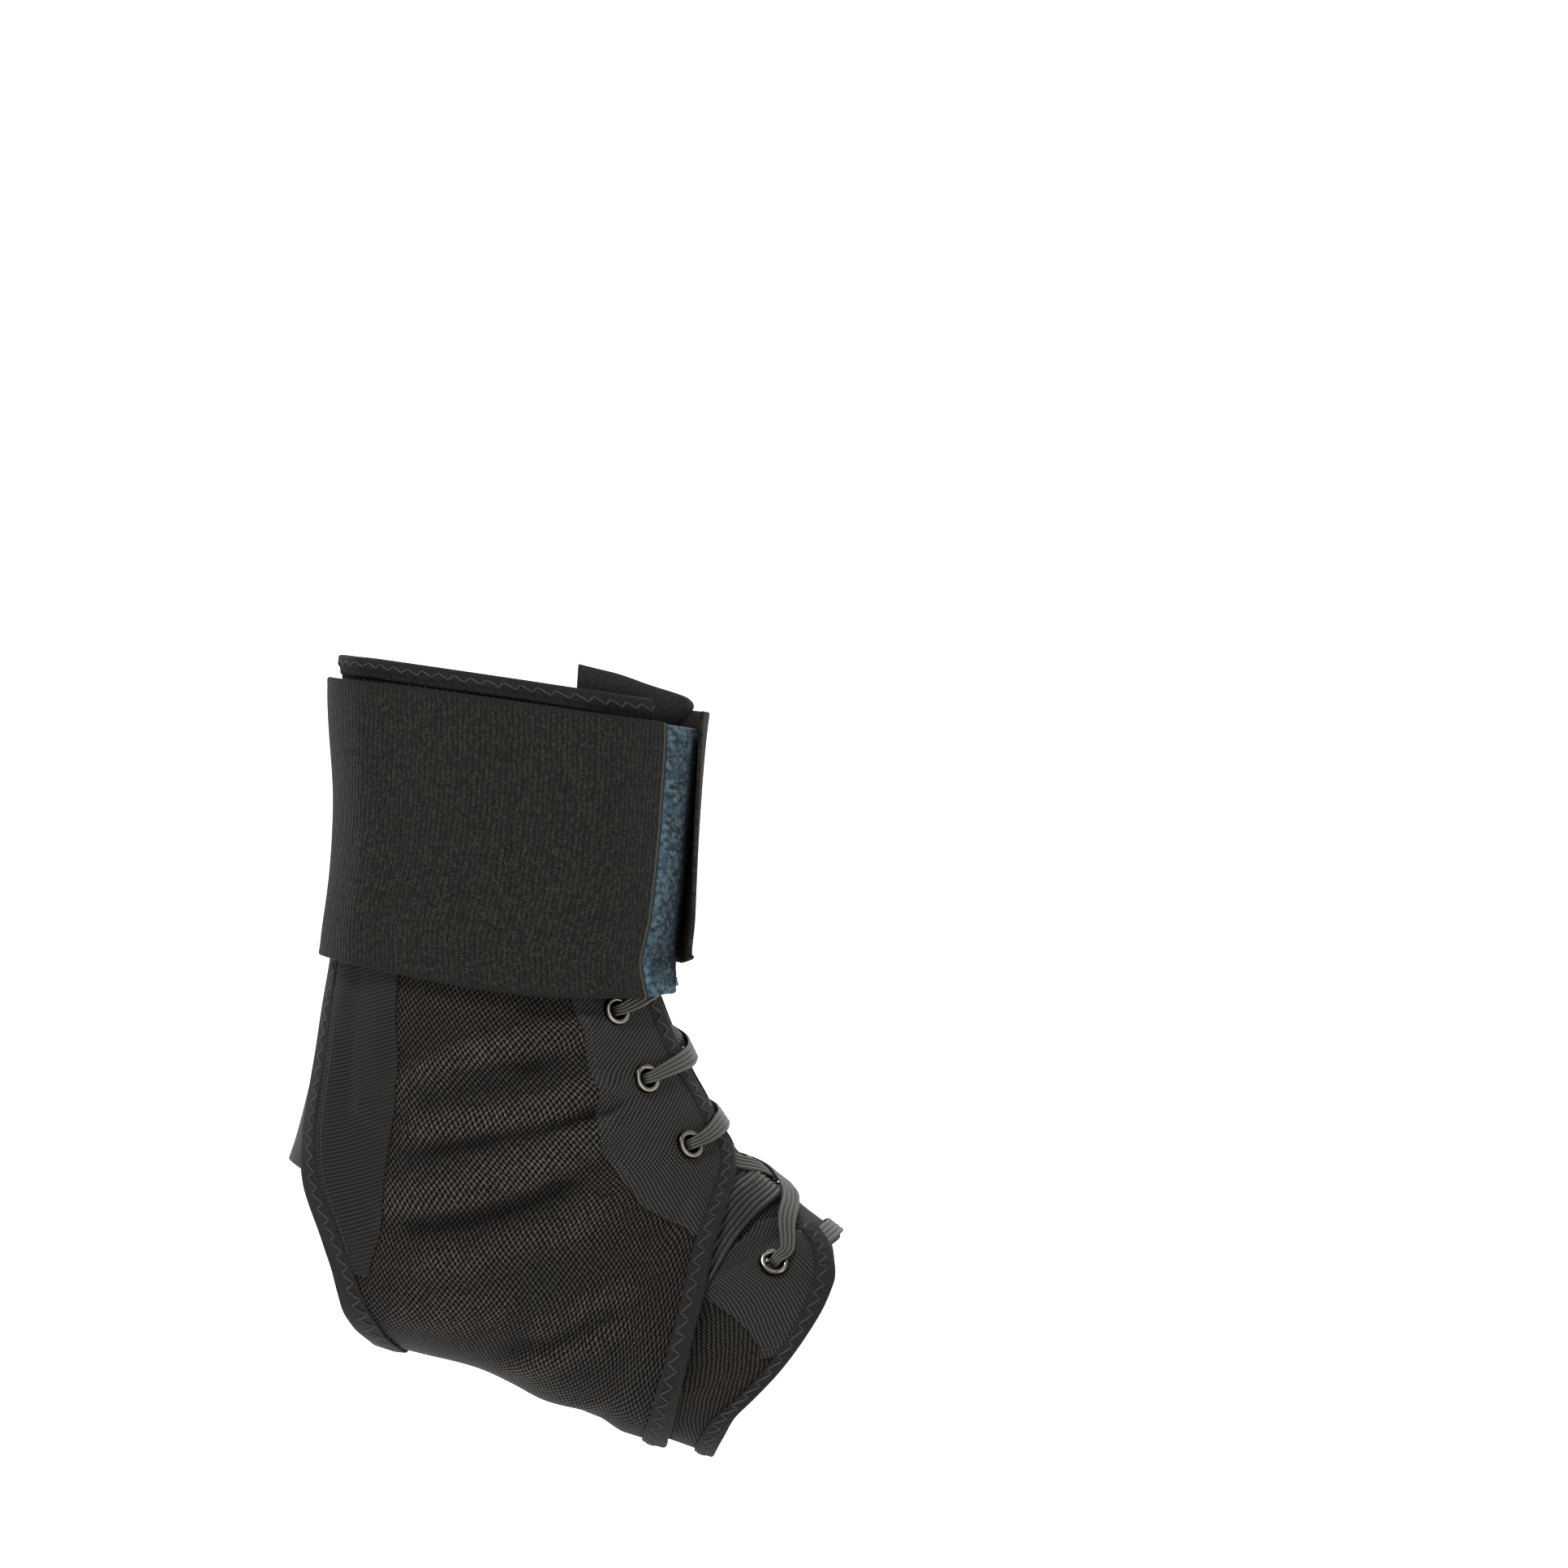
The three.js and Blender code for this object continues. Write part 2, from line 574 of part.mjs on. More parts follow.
function loopPatch() {
  const point = (v, w, h) => {
    const th = mix(bandStart(w) - 0.012, loopEnd, v);
    const s = mix(bandTop + 0.03, bandBottom(th) - 0.03 - 0.4 * v, w);
    return over(s, th, mix(patchRise(th), bandBase(th) + 0.7, rise(th, 0.35, 0.55)) + h);
  };
  return sheet(8, 4, (v, w) => point(v, w, 0), (v, w) => point(v, w, LOOP_WALL));
}

function hookTab() {
  const start = -0.62 + 0.012, end = 0.3;
  const point = (v, w, h) => {
    const th = mix(start, end, v);
    const s = mix(0.78, 5.17, w);
    const seat = mix(BAND_RISE + 0.7 + 2.35, patchRise(th) + LOOP_WALL + GAP, rise(th, -0.62, -0.35));
    const stand = mix(0, 26, w) * (1 / Math.cos(Math.max(th + 0.12, 0)) - 1) + 2.4 * rise(th, -0.1, 0.3) * w;
    return over(s, th, seat + 0.65 + stand + h);
  };
  return sheet(11, 4, (v, w) => point(v, w, 0), (v, w) => point(v, w, TAB_WALL));
}

// Lace: one flat band, out of an eyelet, over the near edge, under the far edge, up to the next eyelet.
function lace() {
  const low = LACE_LOW + LACE_WALL / 2, high = LACE_HIGH + LACE_WALL / 2;
  const stops = [];
  const through2 = (row, far, outward) => {
    const [s, turn] = eyeletSpots[row];
    const sign = far ? -1 : 1, th = turn * sign, drop = SHELL_RISE - eyeletRise[row];
    const hole = [
      { s: s + 0.12, th: th - sign * 0.13, d: low - drop, wide: 0.8, lean: 0 },
      { s: s + 0.02, th: th - sign * 0.03, d: low - drop + 0.25, wide: 0.62, lean: 0.35 },
      { s, th, d: FLANGE_LOW - drop + 0.9, wide: 0.56, lean: 1 },
      { s, th, d: FLANGE_HIGH - drop - 0.2, wide: 0.56, lean: 1 },
      { s: s - 0.02, th: th - sign * 0.03, d: high - drop - 0.15, wide: 0.62, lean: 0.35 },
      { s: s - 0.12, th: th - sign * 0.13, d: high - drop, wide: 0.8, lean: 0 },
    ];
    if (outward) stops.push(...hole); else stops.push(...hole.reverse());
  };
  // Free stretch from the outside of one eyelet to the inside of the next, or back the other way.
  const cross = (row, fromFar, backwards, above) => {
    const [s0, a] = eyeletSpots[row], [s1, b] = eyeletSpots[row + 1], sign = fromFar ? -1 : 1;
    const list = [], middle = above ? 1.3 : 0, half = a / (a + b);
    const course = row === 0
      ? [[-0.38, 6.6], [-0.2, 5.8], [0, 4.4 + middle], [0.12, 4.85], [0.21, 4.15]]
      : [[-0.25, high + 0.1], [-0.12, 6.3], [0, 4.2 + middle], [0.12, low + 0.5], [0.24, low]];
    for (const [step, d] of course) {
      const t = half + step;
      const th = sign * mix(a, -b, t);
      list.push({ s: mix(s0, s1, t), th, d, wide: 1, lean: 0 });
    }
    stops.push(...(backwards ? list.reverse() : list));
  };
  const top = EYELETS.length - 1;
  let far = false;
  for (let row = 0; row < top; row += 1) {
    through2(row, far, true);
    cross(row, far, false, row % 2 === 0);
    far = !far;
  }
  through2(top, far, true);
  for (const [t, d] of [[0.25, high - 0.3], [0.38, 6.1], [0.5, 5.7], [0.62, 6.1], [0.75, high - 0.3]]) {
    const th = (far ? -1 : 1) * mix(1, -1, t) * eyeletSpots[top][1];
    stops.push({ s: eyeletSpots[top][0] - 0.3, th, d, wide: 1, lean: 0 });
  }
  far = !far;
  through2(top, far, false);
  for (let row = top - 1; row >= 0; row -= 1) {
    cross(row, !far, true, row % 2 === 1);
    far = !far;
    through2(row, far, false);
  }
  for (const t of [0.22, 0.34, 0.5, 0.66, 0.78]) {
    const th = (far ? -1 : 1) * mix(1, -1, t) * eyeletSpots[0][1];
    stops.push({ s: eyeletSpots[0][0] + 0.35, th, d: low + 0.15, wide: 1, lean: 0 });
  }
  const spots = stops.map((p) => over(p.s, p.th, p.d));
  const sections = stops.map((p, i) => {
    const before = spots[(i + spots.length - 1) % spots.length], after = spots[(i + 1) % spots.length];
    const ahead = after.clone().sub(before).normalize();
    const n = normal(p.s, p.th);
    const flat = (p.lean > 0.9 ? form(p.s, p.th + 0.05).sub(form(p.s, p.th - 0.05)) : ahead).normalize();
    const sideways = n.clone().cross(flat).normalize();
    if (p.lean > 0.9 && sideways.dot(n.clone().cross(spotFlow(spots, i))) < 0) sideways.negate();
    const up = sideways.clone().cross(ahead).normalize();
    const half = sideways.multiplyScalar(LACE_WIDTH * p.wide / 2);
    const rib = up.multiplyScalar(LACE_WALL * (p.lean > 0.9 ? 1.5 : 1) / 2);
    const at = spots[i];
    return [at.clone().add(half).add(rib), at.clone().sub(half).add(rib),
      at.clone().sub(half).sub(rib), at.clone().add(half).sub(rib)];
  });
  return sweep(sections, true);
}

function spotFlow(spots, i) {
  const n = spots.length;
  return spots[(i + 3) % n].clone().sub(spots[(i + n - 3) % n]);
}

const CLOTH = { mesh: [0x38322d, 0.9], tape: [0x2d2c29, 0.85], band: [0x32362f, 0.9], elastic: [0x262624, 0.8],
  patch: [0x34373a, 0.85], tongue: [0x2b2a2b, 0.85], lace: [0x232322, 0.8], blue: [0x2d465a, 1.0],
  metal: [0x6b6661, 0.35] };

const group = new THREE.Group();
group.name = 'ankle_brace';

function add(name, geometry, look, metalness = 0) {
  const [color, roughness] = CLOTH[look];
  const mesh = new THREE.Mesh(geometry, new THREE.MeshStandardMaterial({ color, roughness, metalness }));
  mesh.name = name;
  group.add(mesh);
}

const nearFrames = EYELETS.map((_, i) => eyeletFrame(i, false));
const farFrames = EYELETS.map((_, i) => eyeletFrame(i, true));
const shellFrames = [...nearFrames.slice(1), ...farFrames.slice(1)];
const foreFrames = [nearFrames[0], farFrames[0]];

add('tongue', tongue(), 'tongue');
add('ankle_shell', pierced(panelSheet(ankle, ankleBase, ANKLE_STEPS, ANKLE_COLUMNS, SHELL_WALL), shellFrames), 'mesh');
add('forefoot_panel', pierced(panelSheet(fore, foreBase, FORE_STEPS, 6, SHELL_WALL), foreFrames), 'mesh');
add('back_elastic', backElastic(), 'elastic');
add('instep_elastic', instepElastic(), 'elastic');
const tapeEnd = ANKLE_STEPS - 2;
add('front_binding', edgeTape(ankle, ankleBase, 2, tapeEnd, ANKLE_STEPS, TAPE_WIDTH, false), 'tape');
add('heel_binding', edgeTape(ankle, ankleBase, 2, tapeEnd, ANKLE_STEPS, HEEL_TAPE_WIDTH, true), 'tape');
add('forefoot_binding', edgeTape(fore, foreBase, 2, FORE_STEPS - 2, FORE_STEPS, TAPE_WIDTH, false), 'tape');
add('top_binding_near', topTape(false), 'tape');
add('top_binding_far', topTape(true), 'tape');

const patchReach = (t) => mix(17, 27, rise(t, 0.4, 0.85)) - 16 * rise(t, 0.88, 1);
for (const [side, far] of [['near', false], ['far', true]]) {
  const frames = far ? farFrames : nearFrames;
  add(`eyelet_patch_${side}`, pierced(sewnPiece(ankle, ankleBase, 3 / ANKLE_STEPS, 13 / ANKLE_STEPS,
    () => TAPE_WIDTH + GAP, patchReach, false, far, 10, 3, 0.15), frames.slice(1)), 'patch');
  add(`forefoot_patch_${side}`, pierced(sewnPiece(fore, foreBase, 5 / FORE_STEPS, 9 / FORE_STEPS,
    () => TAPE_WIDTH + GAP, (t) => mix(15, 18, t), false, far, 4, 3, 0.25), frames.slice(0, 1)), 'patch');
  add(`stay_pocket_${side}`, sewnPiece(ankle, ankleBase, 7 / ANKLE_STEPS, 14 / ANKLE_STEPS,
    () => HEEL_TAPE_WIDTH + GAP, (t) => mix(21, 27, Math.sin(Math.PI * t * 0.7)) - 13 * rise(t, 0.6, 1),
    true, far, 7, 3, 0.45), 'patch');
  frames.forEach((frame, i) => add(`eyelet_${side}_${i + 1}`, eyelet(frame), 'metal', 1));
}
add('lace', lace(), 'lace');
add('elastic_wrap', elasticWrap(), 'band');
add('loop_patch', loopPatch(), 'blue');
add('hook_tab', hookTab(), 'band');

export default group;
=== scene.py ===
import math

import bmesh
import bpy
import numpy as np
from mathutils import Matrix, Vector
from numpy.linalg import norm


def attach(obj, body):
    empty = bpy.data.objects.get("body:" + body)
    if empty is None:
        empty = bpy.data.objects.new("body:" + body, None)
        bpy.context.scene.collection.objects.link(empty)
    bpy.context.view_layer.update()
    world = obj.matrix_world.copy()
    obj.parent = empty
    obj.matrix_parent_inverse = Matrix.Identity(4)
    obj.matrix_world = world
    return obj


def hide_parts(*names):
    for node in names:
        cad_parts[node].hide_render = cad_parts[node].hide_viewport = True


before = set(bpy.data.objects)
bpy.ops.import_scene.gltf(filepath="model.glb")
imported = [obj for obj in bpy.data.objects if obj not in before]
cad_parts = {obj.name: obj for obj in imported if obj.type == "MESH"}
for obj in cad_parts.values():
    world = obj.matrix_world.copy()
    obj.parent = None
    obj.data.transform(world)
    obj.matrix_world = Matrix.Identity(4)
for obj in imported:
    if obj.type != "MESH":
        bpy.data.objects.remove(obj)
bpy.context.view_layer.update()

MM = 0.001
rng = np.random.default_rng(11)

# --- The worn form, the same as in the CAD source: sizes in mm, tables in shares of them ---
DEPTH, HEIGHT, WIDTH = 150.0, 218.0, 78.0
GAP = 0.3
SHELL_WALL = 1.2
ELASTIC_WALL = 1.1
TONGUE_WALL = 1.9
PATCH_WALL = 0.5
TAPE_WALL = 0.8
TAPE_WIDTH = 5.6
HEEL_TAPE_WIDTH = 7.0
TOP_TAPE_WIDTH = 9.0
TOP_TAPE_SINK = 0.45
TOP_SEAM = (2.9, 6.0)
INSTEP_WALL = 1.0
INSTEP_WIDTH = 14.5
INSTEP_CORDS = 9
BAND_WALL = 1.6
LOOP_WALL = 2.0
TAB_WALL = 1.4
LACE_WIDTH = 5.4
LACE_WALL = 0.8
LACE_RIBS, LACE_STEPS = 4, 7
HOLE_RADIUS = 2.3
FLANGE_RADIUS = 4.05
FLANGE_WALL = 0.45
ZIGZAG_PITCH, ZIGZAG_RADIUS = 4.4, 0.25
STITCH_LENGTH, STITCH_GAP, STITCH_RADIUS = 2.3, 0.55, 0.17
EDGE_COUNT = 300
EYELET_SIDES, ROLL_STEPS = 64, 14

# Heights over the form: the lace and the eyelets at their low and high ends, and what lies on them.
LACE_LOW = TONGUE_WALL + GAP + 0.4
FLANGE_LOW = LACE_LOW + LACE_WALL + GAP
SHELL_RISE = FLANGE_LOW + FLANGE_WALL + GAP + 0.2
PATCH_BASE = SHELL_WALL + GAP
RIM_OVER = PATCH_BASE + PATCH_WALL + GAP + 0.25
RIM_UNDER = FLANGE_WALL + GAP + 0.2
FLANGE_HIGH = SHELL_RISE + RIM_OVER
FLANGE_TOP = FLANGE_HIGH + FLANGE_WALL
LACE_HIGH = FLANGE_TOP + GAP
FORE_RISE = 3.1
BAND_RISE = LACE_HIGH + LACE_WALL + GAP + 0.15
BAND_STAND = 0.7
BAND_STEP = 2.35

# Half thickness of the panels' cloth, and the radius of the holes in it.
CLOTH_HALF = 0.45
HOLE_IN_CLOTH = 2.9
# Station of the wrap's top edge, and the turns at which wrap, loop pile and tab end.
BAND_TOP = 1.08
BAND_SHORT = 0.62
LOOP_END = -0.55
TAB_START, TAB_END = -BAND_SHORT + 0.012, 0.3
YARN_COUNT, YARN_HEIGHT, YARN_SPAN, YARN_RADIUS = 4200, 0.75, 0.9, 0.075

# The cloth of the panels is thinner than the CAD walls: tapes and sewn pieces rest on it.
MESH_TOP = SHELL_WALL / 2 + CLOTH_HALF
TAPE_MIDDLE = MESH_TOP + TAPE_WALL / 2 + 0.06
SEAM_TOP = TAPE_MIDDLE + TAPE_WALL / 2 + 0.02
SEWN_DOWN = MESH_TOP + 0.08 - PATCH_BASE

# Cross-sections from the leg opening to the forefoot.
# Front x, front z, back x, back z, half width, fullness at the front and at the back.
SECTIONS = np.array([
    [0.335, 0.583, -0.254, 0.642, 0.468, 1.0, 1.0],
    [0.32, 0.517, -0.253, 0.575, 0.462, 1.0, 1.0],
    [0.307, 0.444, -0.251, 0.503, 0.455, 1.0, 1.05],
    [0.294, 0.358, -0.246, 0.413, 0.449, 1.0, 1.1],
    [0.283, 0.278, -0.251, 0.322, 0.449, 1.0, 1.15],
    [0.273, 0.212, -0.267, 0.232, 0.455, 1.0, 1.2],
    [0.31, 0.151, -0.29, 0.151, 0.468, 1.0, 1.25],
    [0.349, 0.091, -0.314, 0.076, 0.487, 1.0, 1.2],
    [0.382, 0.037, -0.342, 0.0, 0.5, 1.0, 1.1],
    [0.413, 0.001, -0.376, -0.077, 0.5, 1.0, 1.0],
    [0.445, -0.027, -0.38, -0.161, 0.494, 1.0, 0.9],
    [0.478, -0.049, -0.336, -0.218, 0.487, 1.0, 0.82],
    [0.51, -0.069, -0.235, -0.249, 0.481, 1.0, 0.76],
    [0.545, -0.085, -0.125, -0.268, 0.474, 1.0, 0.74],
    [0.572, -0.1, -0.015, -0.288, 0.474, 0.98, 0.72],
    [0.597, -0.113, 0.095, -0.322, 0.481, 0.96, 0.7],
    [0.62, -0.125, 0.205, -0.348, 0.487, 0.95, 0.7],
    [0.648, -0.141, 0.315, -0.372, 0.494, 0.95, 0.7],
    [0.681, -0.161, 0.411, -0.395, 0.5, 0.95, 0.7],
])
LAST = len(SECTIONS) - 1

# Rows of the two mesh panels from the near top edge to the sole: front place, back place.
ANKLE_ROWS = [
    [0.268, 0.544, -0.249, 0.597], [0.279, 0.517, -0.248, 0.577], [0.277, 0.461, -0.243, 0.519],
    [0.268, 0.392, -0.236, 0.449], [0.256, 0.313, -0.238, 0.368], [0.247, 0.242, -0.25, 0.299],
    [0.266, 0.177, -0.263, 0.228], [0.3, 0.121, -0.278, 0.167], [0.33, 0.076, -0.29, 0.112],
    [0.36, 0.037, -0.302, 0.062], [0.384, 0.004, -0.314, 0.011], [0.411, -0.025, -0.318, -0.034],
    [0.422, -0.05, -0.308, -0.079], [0.417, -0.086, -0.29, -0.123], [0.405, -0.126, -0.271, -0.163],
    [0.392, -0.172, -0.258, -0.197], [0.377, -0.222, -0.244, -0.222], [0.359, -0.278, -0.229, -0.236],
    [0.342, -0.328, -0.213, -0.246], [0.333, -0.352, -0.205, -0.251], [0.325, -0.367, -0.2, -0.255],
    [0.317, -0.379, -0.195, -0.258],
]
FORE_ROWS = [
    [0.515, -0.086, 0.49, -0.082], [0.54, -0.103, 0.47, -0.109], [0.57, -0.124, 0.444, -0.142],
    [0.598, -0.149, 0.406, -0.173], [0.61, -0.18, 0.358, -0.202], [0.6, -0.212, 0.34, -0.235],
    [0.572, -0.246, 0.322, -0.272], [0.528, -0.286, 0.306, -0.306], [0.478, -0.322, 0.29, -0.333],
    [0.444, -0.345, 0.28, -0.347], [0.422, -0.372, 0.27, -0.355], [0.408, -0.394, 0.262, -0.358],
]

# Raised folds: start x, z, end x, z, height and half width as shares of DEPTH.
FOLDS = [
    [-0.13, 0.06, -0.02, 0.095, 0.012, 0.03],
    [-0.02, 0.095, 0.17, 0.125, 0.011, 0.03],
    [-0.16, -0.075, -0.02, -0.055, 0.011, 0.032],
    [-0.02, -0.055, 0.17, 0.005, 0.013, 0.034],
    [0.04, -0.01, 0.2, 0.055, 0.011, 0.026],
    [-0.2, 0.02, -0.13, 0.052, 0.008, 0.02],
]
# Places in the side view: the eyelets from the forefoot up, and the middle of the instep elastic.
EYELETS = [[0.52, -0.152], [0.371, -0.008], [0.293, 0.074],
           [0.239, 0.158], [0.228, 0.252], [0.234, 0.345]]
INSTEP_ROUTE = [[0.352, -0.176], [0.366, -0.158], [0.39, -0.132],
                [0.417, -0.108], [0.446, -0.085], [0.478, -0.068]]

# How far each sewn piece reaches from the edge of its panel, in mm at even steps along it.
EYELET_PATCH_REACH = [[25], [26], [27], [30], [36], [38], [29], [8]]
FORE_PATCH_REACH = [[15], [25], [34], [38], [33], [25], [17], [10]]
POCKET_REACH = [[30], [32], [34], [34], [30], [22], [12]]


def rise(x, low, high):
    t = np.clip((np.asarray(x, float) - low) / (high - low), 0, 1)
    return t * t * (3 - 2 * t)


def mix(a, b, t):
    return a + (b - a) * t


def unit(v):
    return v / np.maximum(norm(v, axis=-1, keepdims=True), 1e-9)


def run_along(line):
    """Distance from the start of a line of points to each of them."""
    return np.concatenate([[0], np.cumsum(norm(np.diff(line, axis=0), axis=1))])


def runs_of(grid):
    """Distances down and across a grid of points, each from its first row or column."""
    down = norm(np.diff(grid, axis=0), axis=2).cumsum(0)
    across = norm(np.diff(grid, axis=1), axis=2).cumsum(1)
    return np.pad(down, ((1, 0), (0, 0))), np.pad(across, ((0, 0), (1, 0)))


def unit_grid(rows, cols):
    return np.meshgrid(np.linspace(0, 1, rows), np.linspace(0, 1, cols), indexing="ij")


def through(rows, index):
    """Smooth curve through the rows of a table."""
    rows, index = np.asarray(rows, float), np.asarray(index, float)
    last = len(rows) - 1
    i = np.clip(np.floor(index), 0, last - 1).astype(int)
    t = (index - i)[..., None]
    a, b, c, d = rows[np.maximum(i - 1, 0)], rows[i], rows[i + 1], rows[np.minimum(i + 2, last)]
    return b + 0.5 * t * (c - a + t * (2 * a - 5 * b + 4 * c - d + t * (3 * (b - c) + d - a)))


def form(s, th):
    """Point of the worn form: station s, turn th (0 front, pi back; the near side is positive)."""
    s, th = np.broadcast_arrays(np.asarray(s, float), np.asarray(th, float))
    row = through(SECTIONS, np.clip(s, -0.4, LAST + 0.4))
    u = (1 - np.cos(th)) / 2
    side = np.sin(th)
    power = mix(row[..., 5], row[..., 6], u)
    y = -np.sign(side) * row[..., 4] * WIDTH * np.abs(side) ** power
    x, z = mix(row[..., 0], row[..., 2], u) * DEPTH, mix(row[..., 1], row[..., 3], u) * HEIGHT
    return np.stack([x, y, z], -1)


def normal(s, th):
    s, th = np.asarray(s, float), np.asarray(th, float)
    around = form(s, th + 0.03) - form(s, th - 0.03)
    along = form(s + 0.15, th) - form(s - 0.15, th)
    return unit(np.cross(around, along))


def over(s, th, d):
    return form(s, th) + normal(s, th) * np.asarray(d, float)[..., None]


def locate(x, z):
    """Station and turn of a place seen from the side, in shares of DEPTH and HEIGHT."""
    x, z = np.broadcast_arrays(np.asarray(x, float), np.asarray(z, float))

    def offside(s):
        row = through(SECTIONS, s)
        return ((row[..., 2] - row[..., 0]) * DEPTH * (z - row[..., 1]) * HEIGHT
                - (row[..., 3] - row[..., 1]) * HEIGHT * (x - row[..., 0]) * DEPTH)

    low, high = np.zeros(x.shape), np.full(x.shape, float(LAST))
    sign = np.sign(offside(low))
    for _ in range(40):
        mid = (low + high) / 2
        same = np.sign(offside(mid)) == sign
        low, high = np.where(same, mid, low), np.where(same, high, mid)
    s = (low + high) / 2
    row = through(SECTIONS, s)
    dx, dz = (row[..., 2] - row[..., 0]) * DEPTH, (row[..., 3] - row[..., 1]) * HEIGHT
    u = ((x - row[..., 0]) * DEPTH * dx + (z - row[..., 1]) * HEIGHT * dz) / (dx * dx + dz * dz)
    return s, np.arccos(np.clip(1 - 2 * u, -1, 1))


def seen(x, z, d):
    s, th = locate(x, z)
    for _ in range(6):
        n = normal(s, th)
        s, th = locate(x - n[..., 0] * d / DEPTH, z - n[..., 2] * d / HEIGHT)
    return s, th


EYELET_RISE = [FORE_RISE] + [SHELL_RISE] * (len(EYELETS) - 1)
EYELET_SPOTS = [tuple(float(q) for q in seen(x, z, r + RIM_OVER + FLANGE_WALL))
                for (x, z), r in zip(EYELETS, EYELET_RISE)]


def tongue_half(s):
    return mix(1.12, 0.82, np.clip(np.asarray(s, float) / 16, 0, 1))


def ridge(table, s, th):
    """Sum of soft ridges (or dents, where the height is negative) along the lines of a table."""
    p = form(s, th)
    x, z = p[..., 0] / DEPTH, p[..., 2] / DEPTH
    up, down = np.zeros(x.shape), np.zeros(x.shape)
    for ax, az, bx, bz, high, half in table:
        az, bz = az * HEIGHT / DEPTH, bz * HEIGHT / DEPTH
        dx, dz = bx - ax, bz - az
        t = np.clip(((x - ax) * dx + (z - az) * dz) / (dx * dx + dz * dz), 0, 1)
        far = np.hypot(x - ax - dx * t, z - az - dz * t) / half
        bump = high * DEPTH * np.exp(-far * far)
        up, down = np.maximum(up, bump), np.minimum(down, bump)
    return up + down


class Panel:
    """A panel from the near side under the foot to the far side.
    v runs along it, and w from its front edge to its back edge."""

    def __init__(self, table, base):
        self.base = base
        rows = []
        for fx, fz, bx, bz in table:
            (sf, tf), (sb, tb) = locate(fx, fz), locate(bx, bz)
            rows.append([float(sf), float(tf), float(sb), float(tb)])
        rows[-1][1] = rows[-1][3] = math.pi
        rows += [[sf, 2 * math.pi - tf, sb, 2 * math.pi - tb] for sf, tf, sb, tb in rows[-2::-1]]
        self.rows = np.array(rows)
        self.steps = np.linspace(0, 1, 241)
        grid = form(*self.place(self.steps[:, None], np.linspace(0, 1, 25)[None, :]))
        self.widths = norm(np.diff(grid, axis=1), axis=2).sum(1)
        self.runs = run_along(grid[:, 12])

    def place(self, v, w):
        v, w = np.broadcast_arrays(np.asarray(v, float), np.asarray(w, float))
        row = through(self.rows, v * (len(self.rows) - 1))
        return mix(row[..., 0], row[..., 2], w), mix(row[..., 1], row[..., 3], w)

    def cover(self, v, w, h, far=False):
        """Point h mm over the panel's base, on its far half for a place of the near one if wanted."""
        s, th = self.place(v, w)
        return over(s, -th if far else th, self.base(v, w) + h)

    def inset(self, v, q, from_back):
        """Place across the panel that lies q mm in from one of its edges."""
        w = q / self.across(v)
        return 1 - w if from_back else w

    def across(self, v):
        return np.interp(v, self.steps, self.widths)

    def along(self, v):
        return np.interp(v, self.steps, self.runs)


def near_turn(th):
    """The same turn on the near side."""
    return np.where(th > math.pi, 2 * math.pi - th, th)


def fore_height(s, turn):
    """Height of the inner face of the forefoot panel over the form."""
    half, spot = tongue_half(s), EYELET_SPOTS[0][1]
    on_tongue = (TONGUE_WALL + GAP) * (1 - rise(turn, half - 0.05, half + 0.4))
    at_eyelet = FORE_RISE * rise(s, 14.2, 15) * (1 - rise(turn, spot + 0.2, spot + 0.65))
    over_lace = 4.05 * rise(s, 14.4, 15.2) * (1 - rise(turn, half + 0.02, half + 0.27))
    return np.maximum(np.maximum(on_tongue, at_eyelet), over_lace)


# Finer folds that only the cloth shows: places along each one in the side view, counted in steps
# of SIDE_STEP mm to the right and down from a point above and behind the part, then height and
# half width in mm.
SIDE_STEP, SIDE_X, SIDE_Z = 0.22, 600, 1400
FINE_FOLDS = [
    ([(492, 1330), (557, 1305), (629, 1290), (690, 1278), (750, 1264)], 1.7, 2.6),
    ([(490, 1356), (560, 1334), (643, 1316), (705, 1304)], -1.3, 3.0),
    ([(480, 1402), (557, 1386), (650, 1368), (714, 1350), (790, 1328)], 2.0, 3.0),
    ([(520, 1345), (580, 1330), (650, 1318)], 1.1, 1.6),
    ([(486, 1428), (586, 1409), (657, 1393), (743, 1368), (782, 1352)], -1.6, 2.4),
    ([(464, 1488), (557, 1475), (629, 1457), (679, 1436), (743, 1394), (790, 1366)], 2.3, 2.9),
    ([(472, 1512), (579, 1497), (657, 1475), (729, 1445)], -1.3, 3.4),
    ([(650, 1436), (700, 1412), (748, 1380), (780, 1350)], 1.3, 1.7),
    ([(440, 1372), (462, 1348), (500, 1330)], 1.1, 1.7),
    ([(446, 1395), (470, 1376), (505, 1362)], -0.8, 1.8),
    ([(614, 1690), (686, 1671), (760, 1635), (800, 1612)], 1.0, 3.0),
    ([(640, 1648), (714, 1618), (800, 1575)], 1.0, 3.8),
    ([(600, 1665), (690, 1645), (780, 1600)], -0.9, 3.0),
    ([(480, 1560), (580, 1550), (690, 1515), (780, 1470)], 0.9, 4.5),
    ([(470, 1605), (560, 1612), (650, 1600)], 0.8, 5.0),
    ([(579, 1706), (657, 1720), (729, 1729), (771, 1716)], 0.6, 1.5),
    ([(600, 1724), (679, 1740), (743, 1750)], 0.5, 1.4),
    ([(590, 1714), (668, 1731), (740, 1741)], -0.4, 1.2),
    ([(430, 1240), (432, 1330), (424, 1420)], -0.5, 2.2),
]


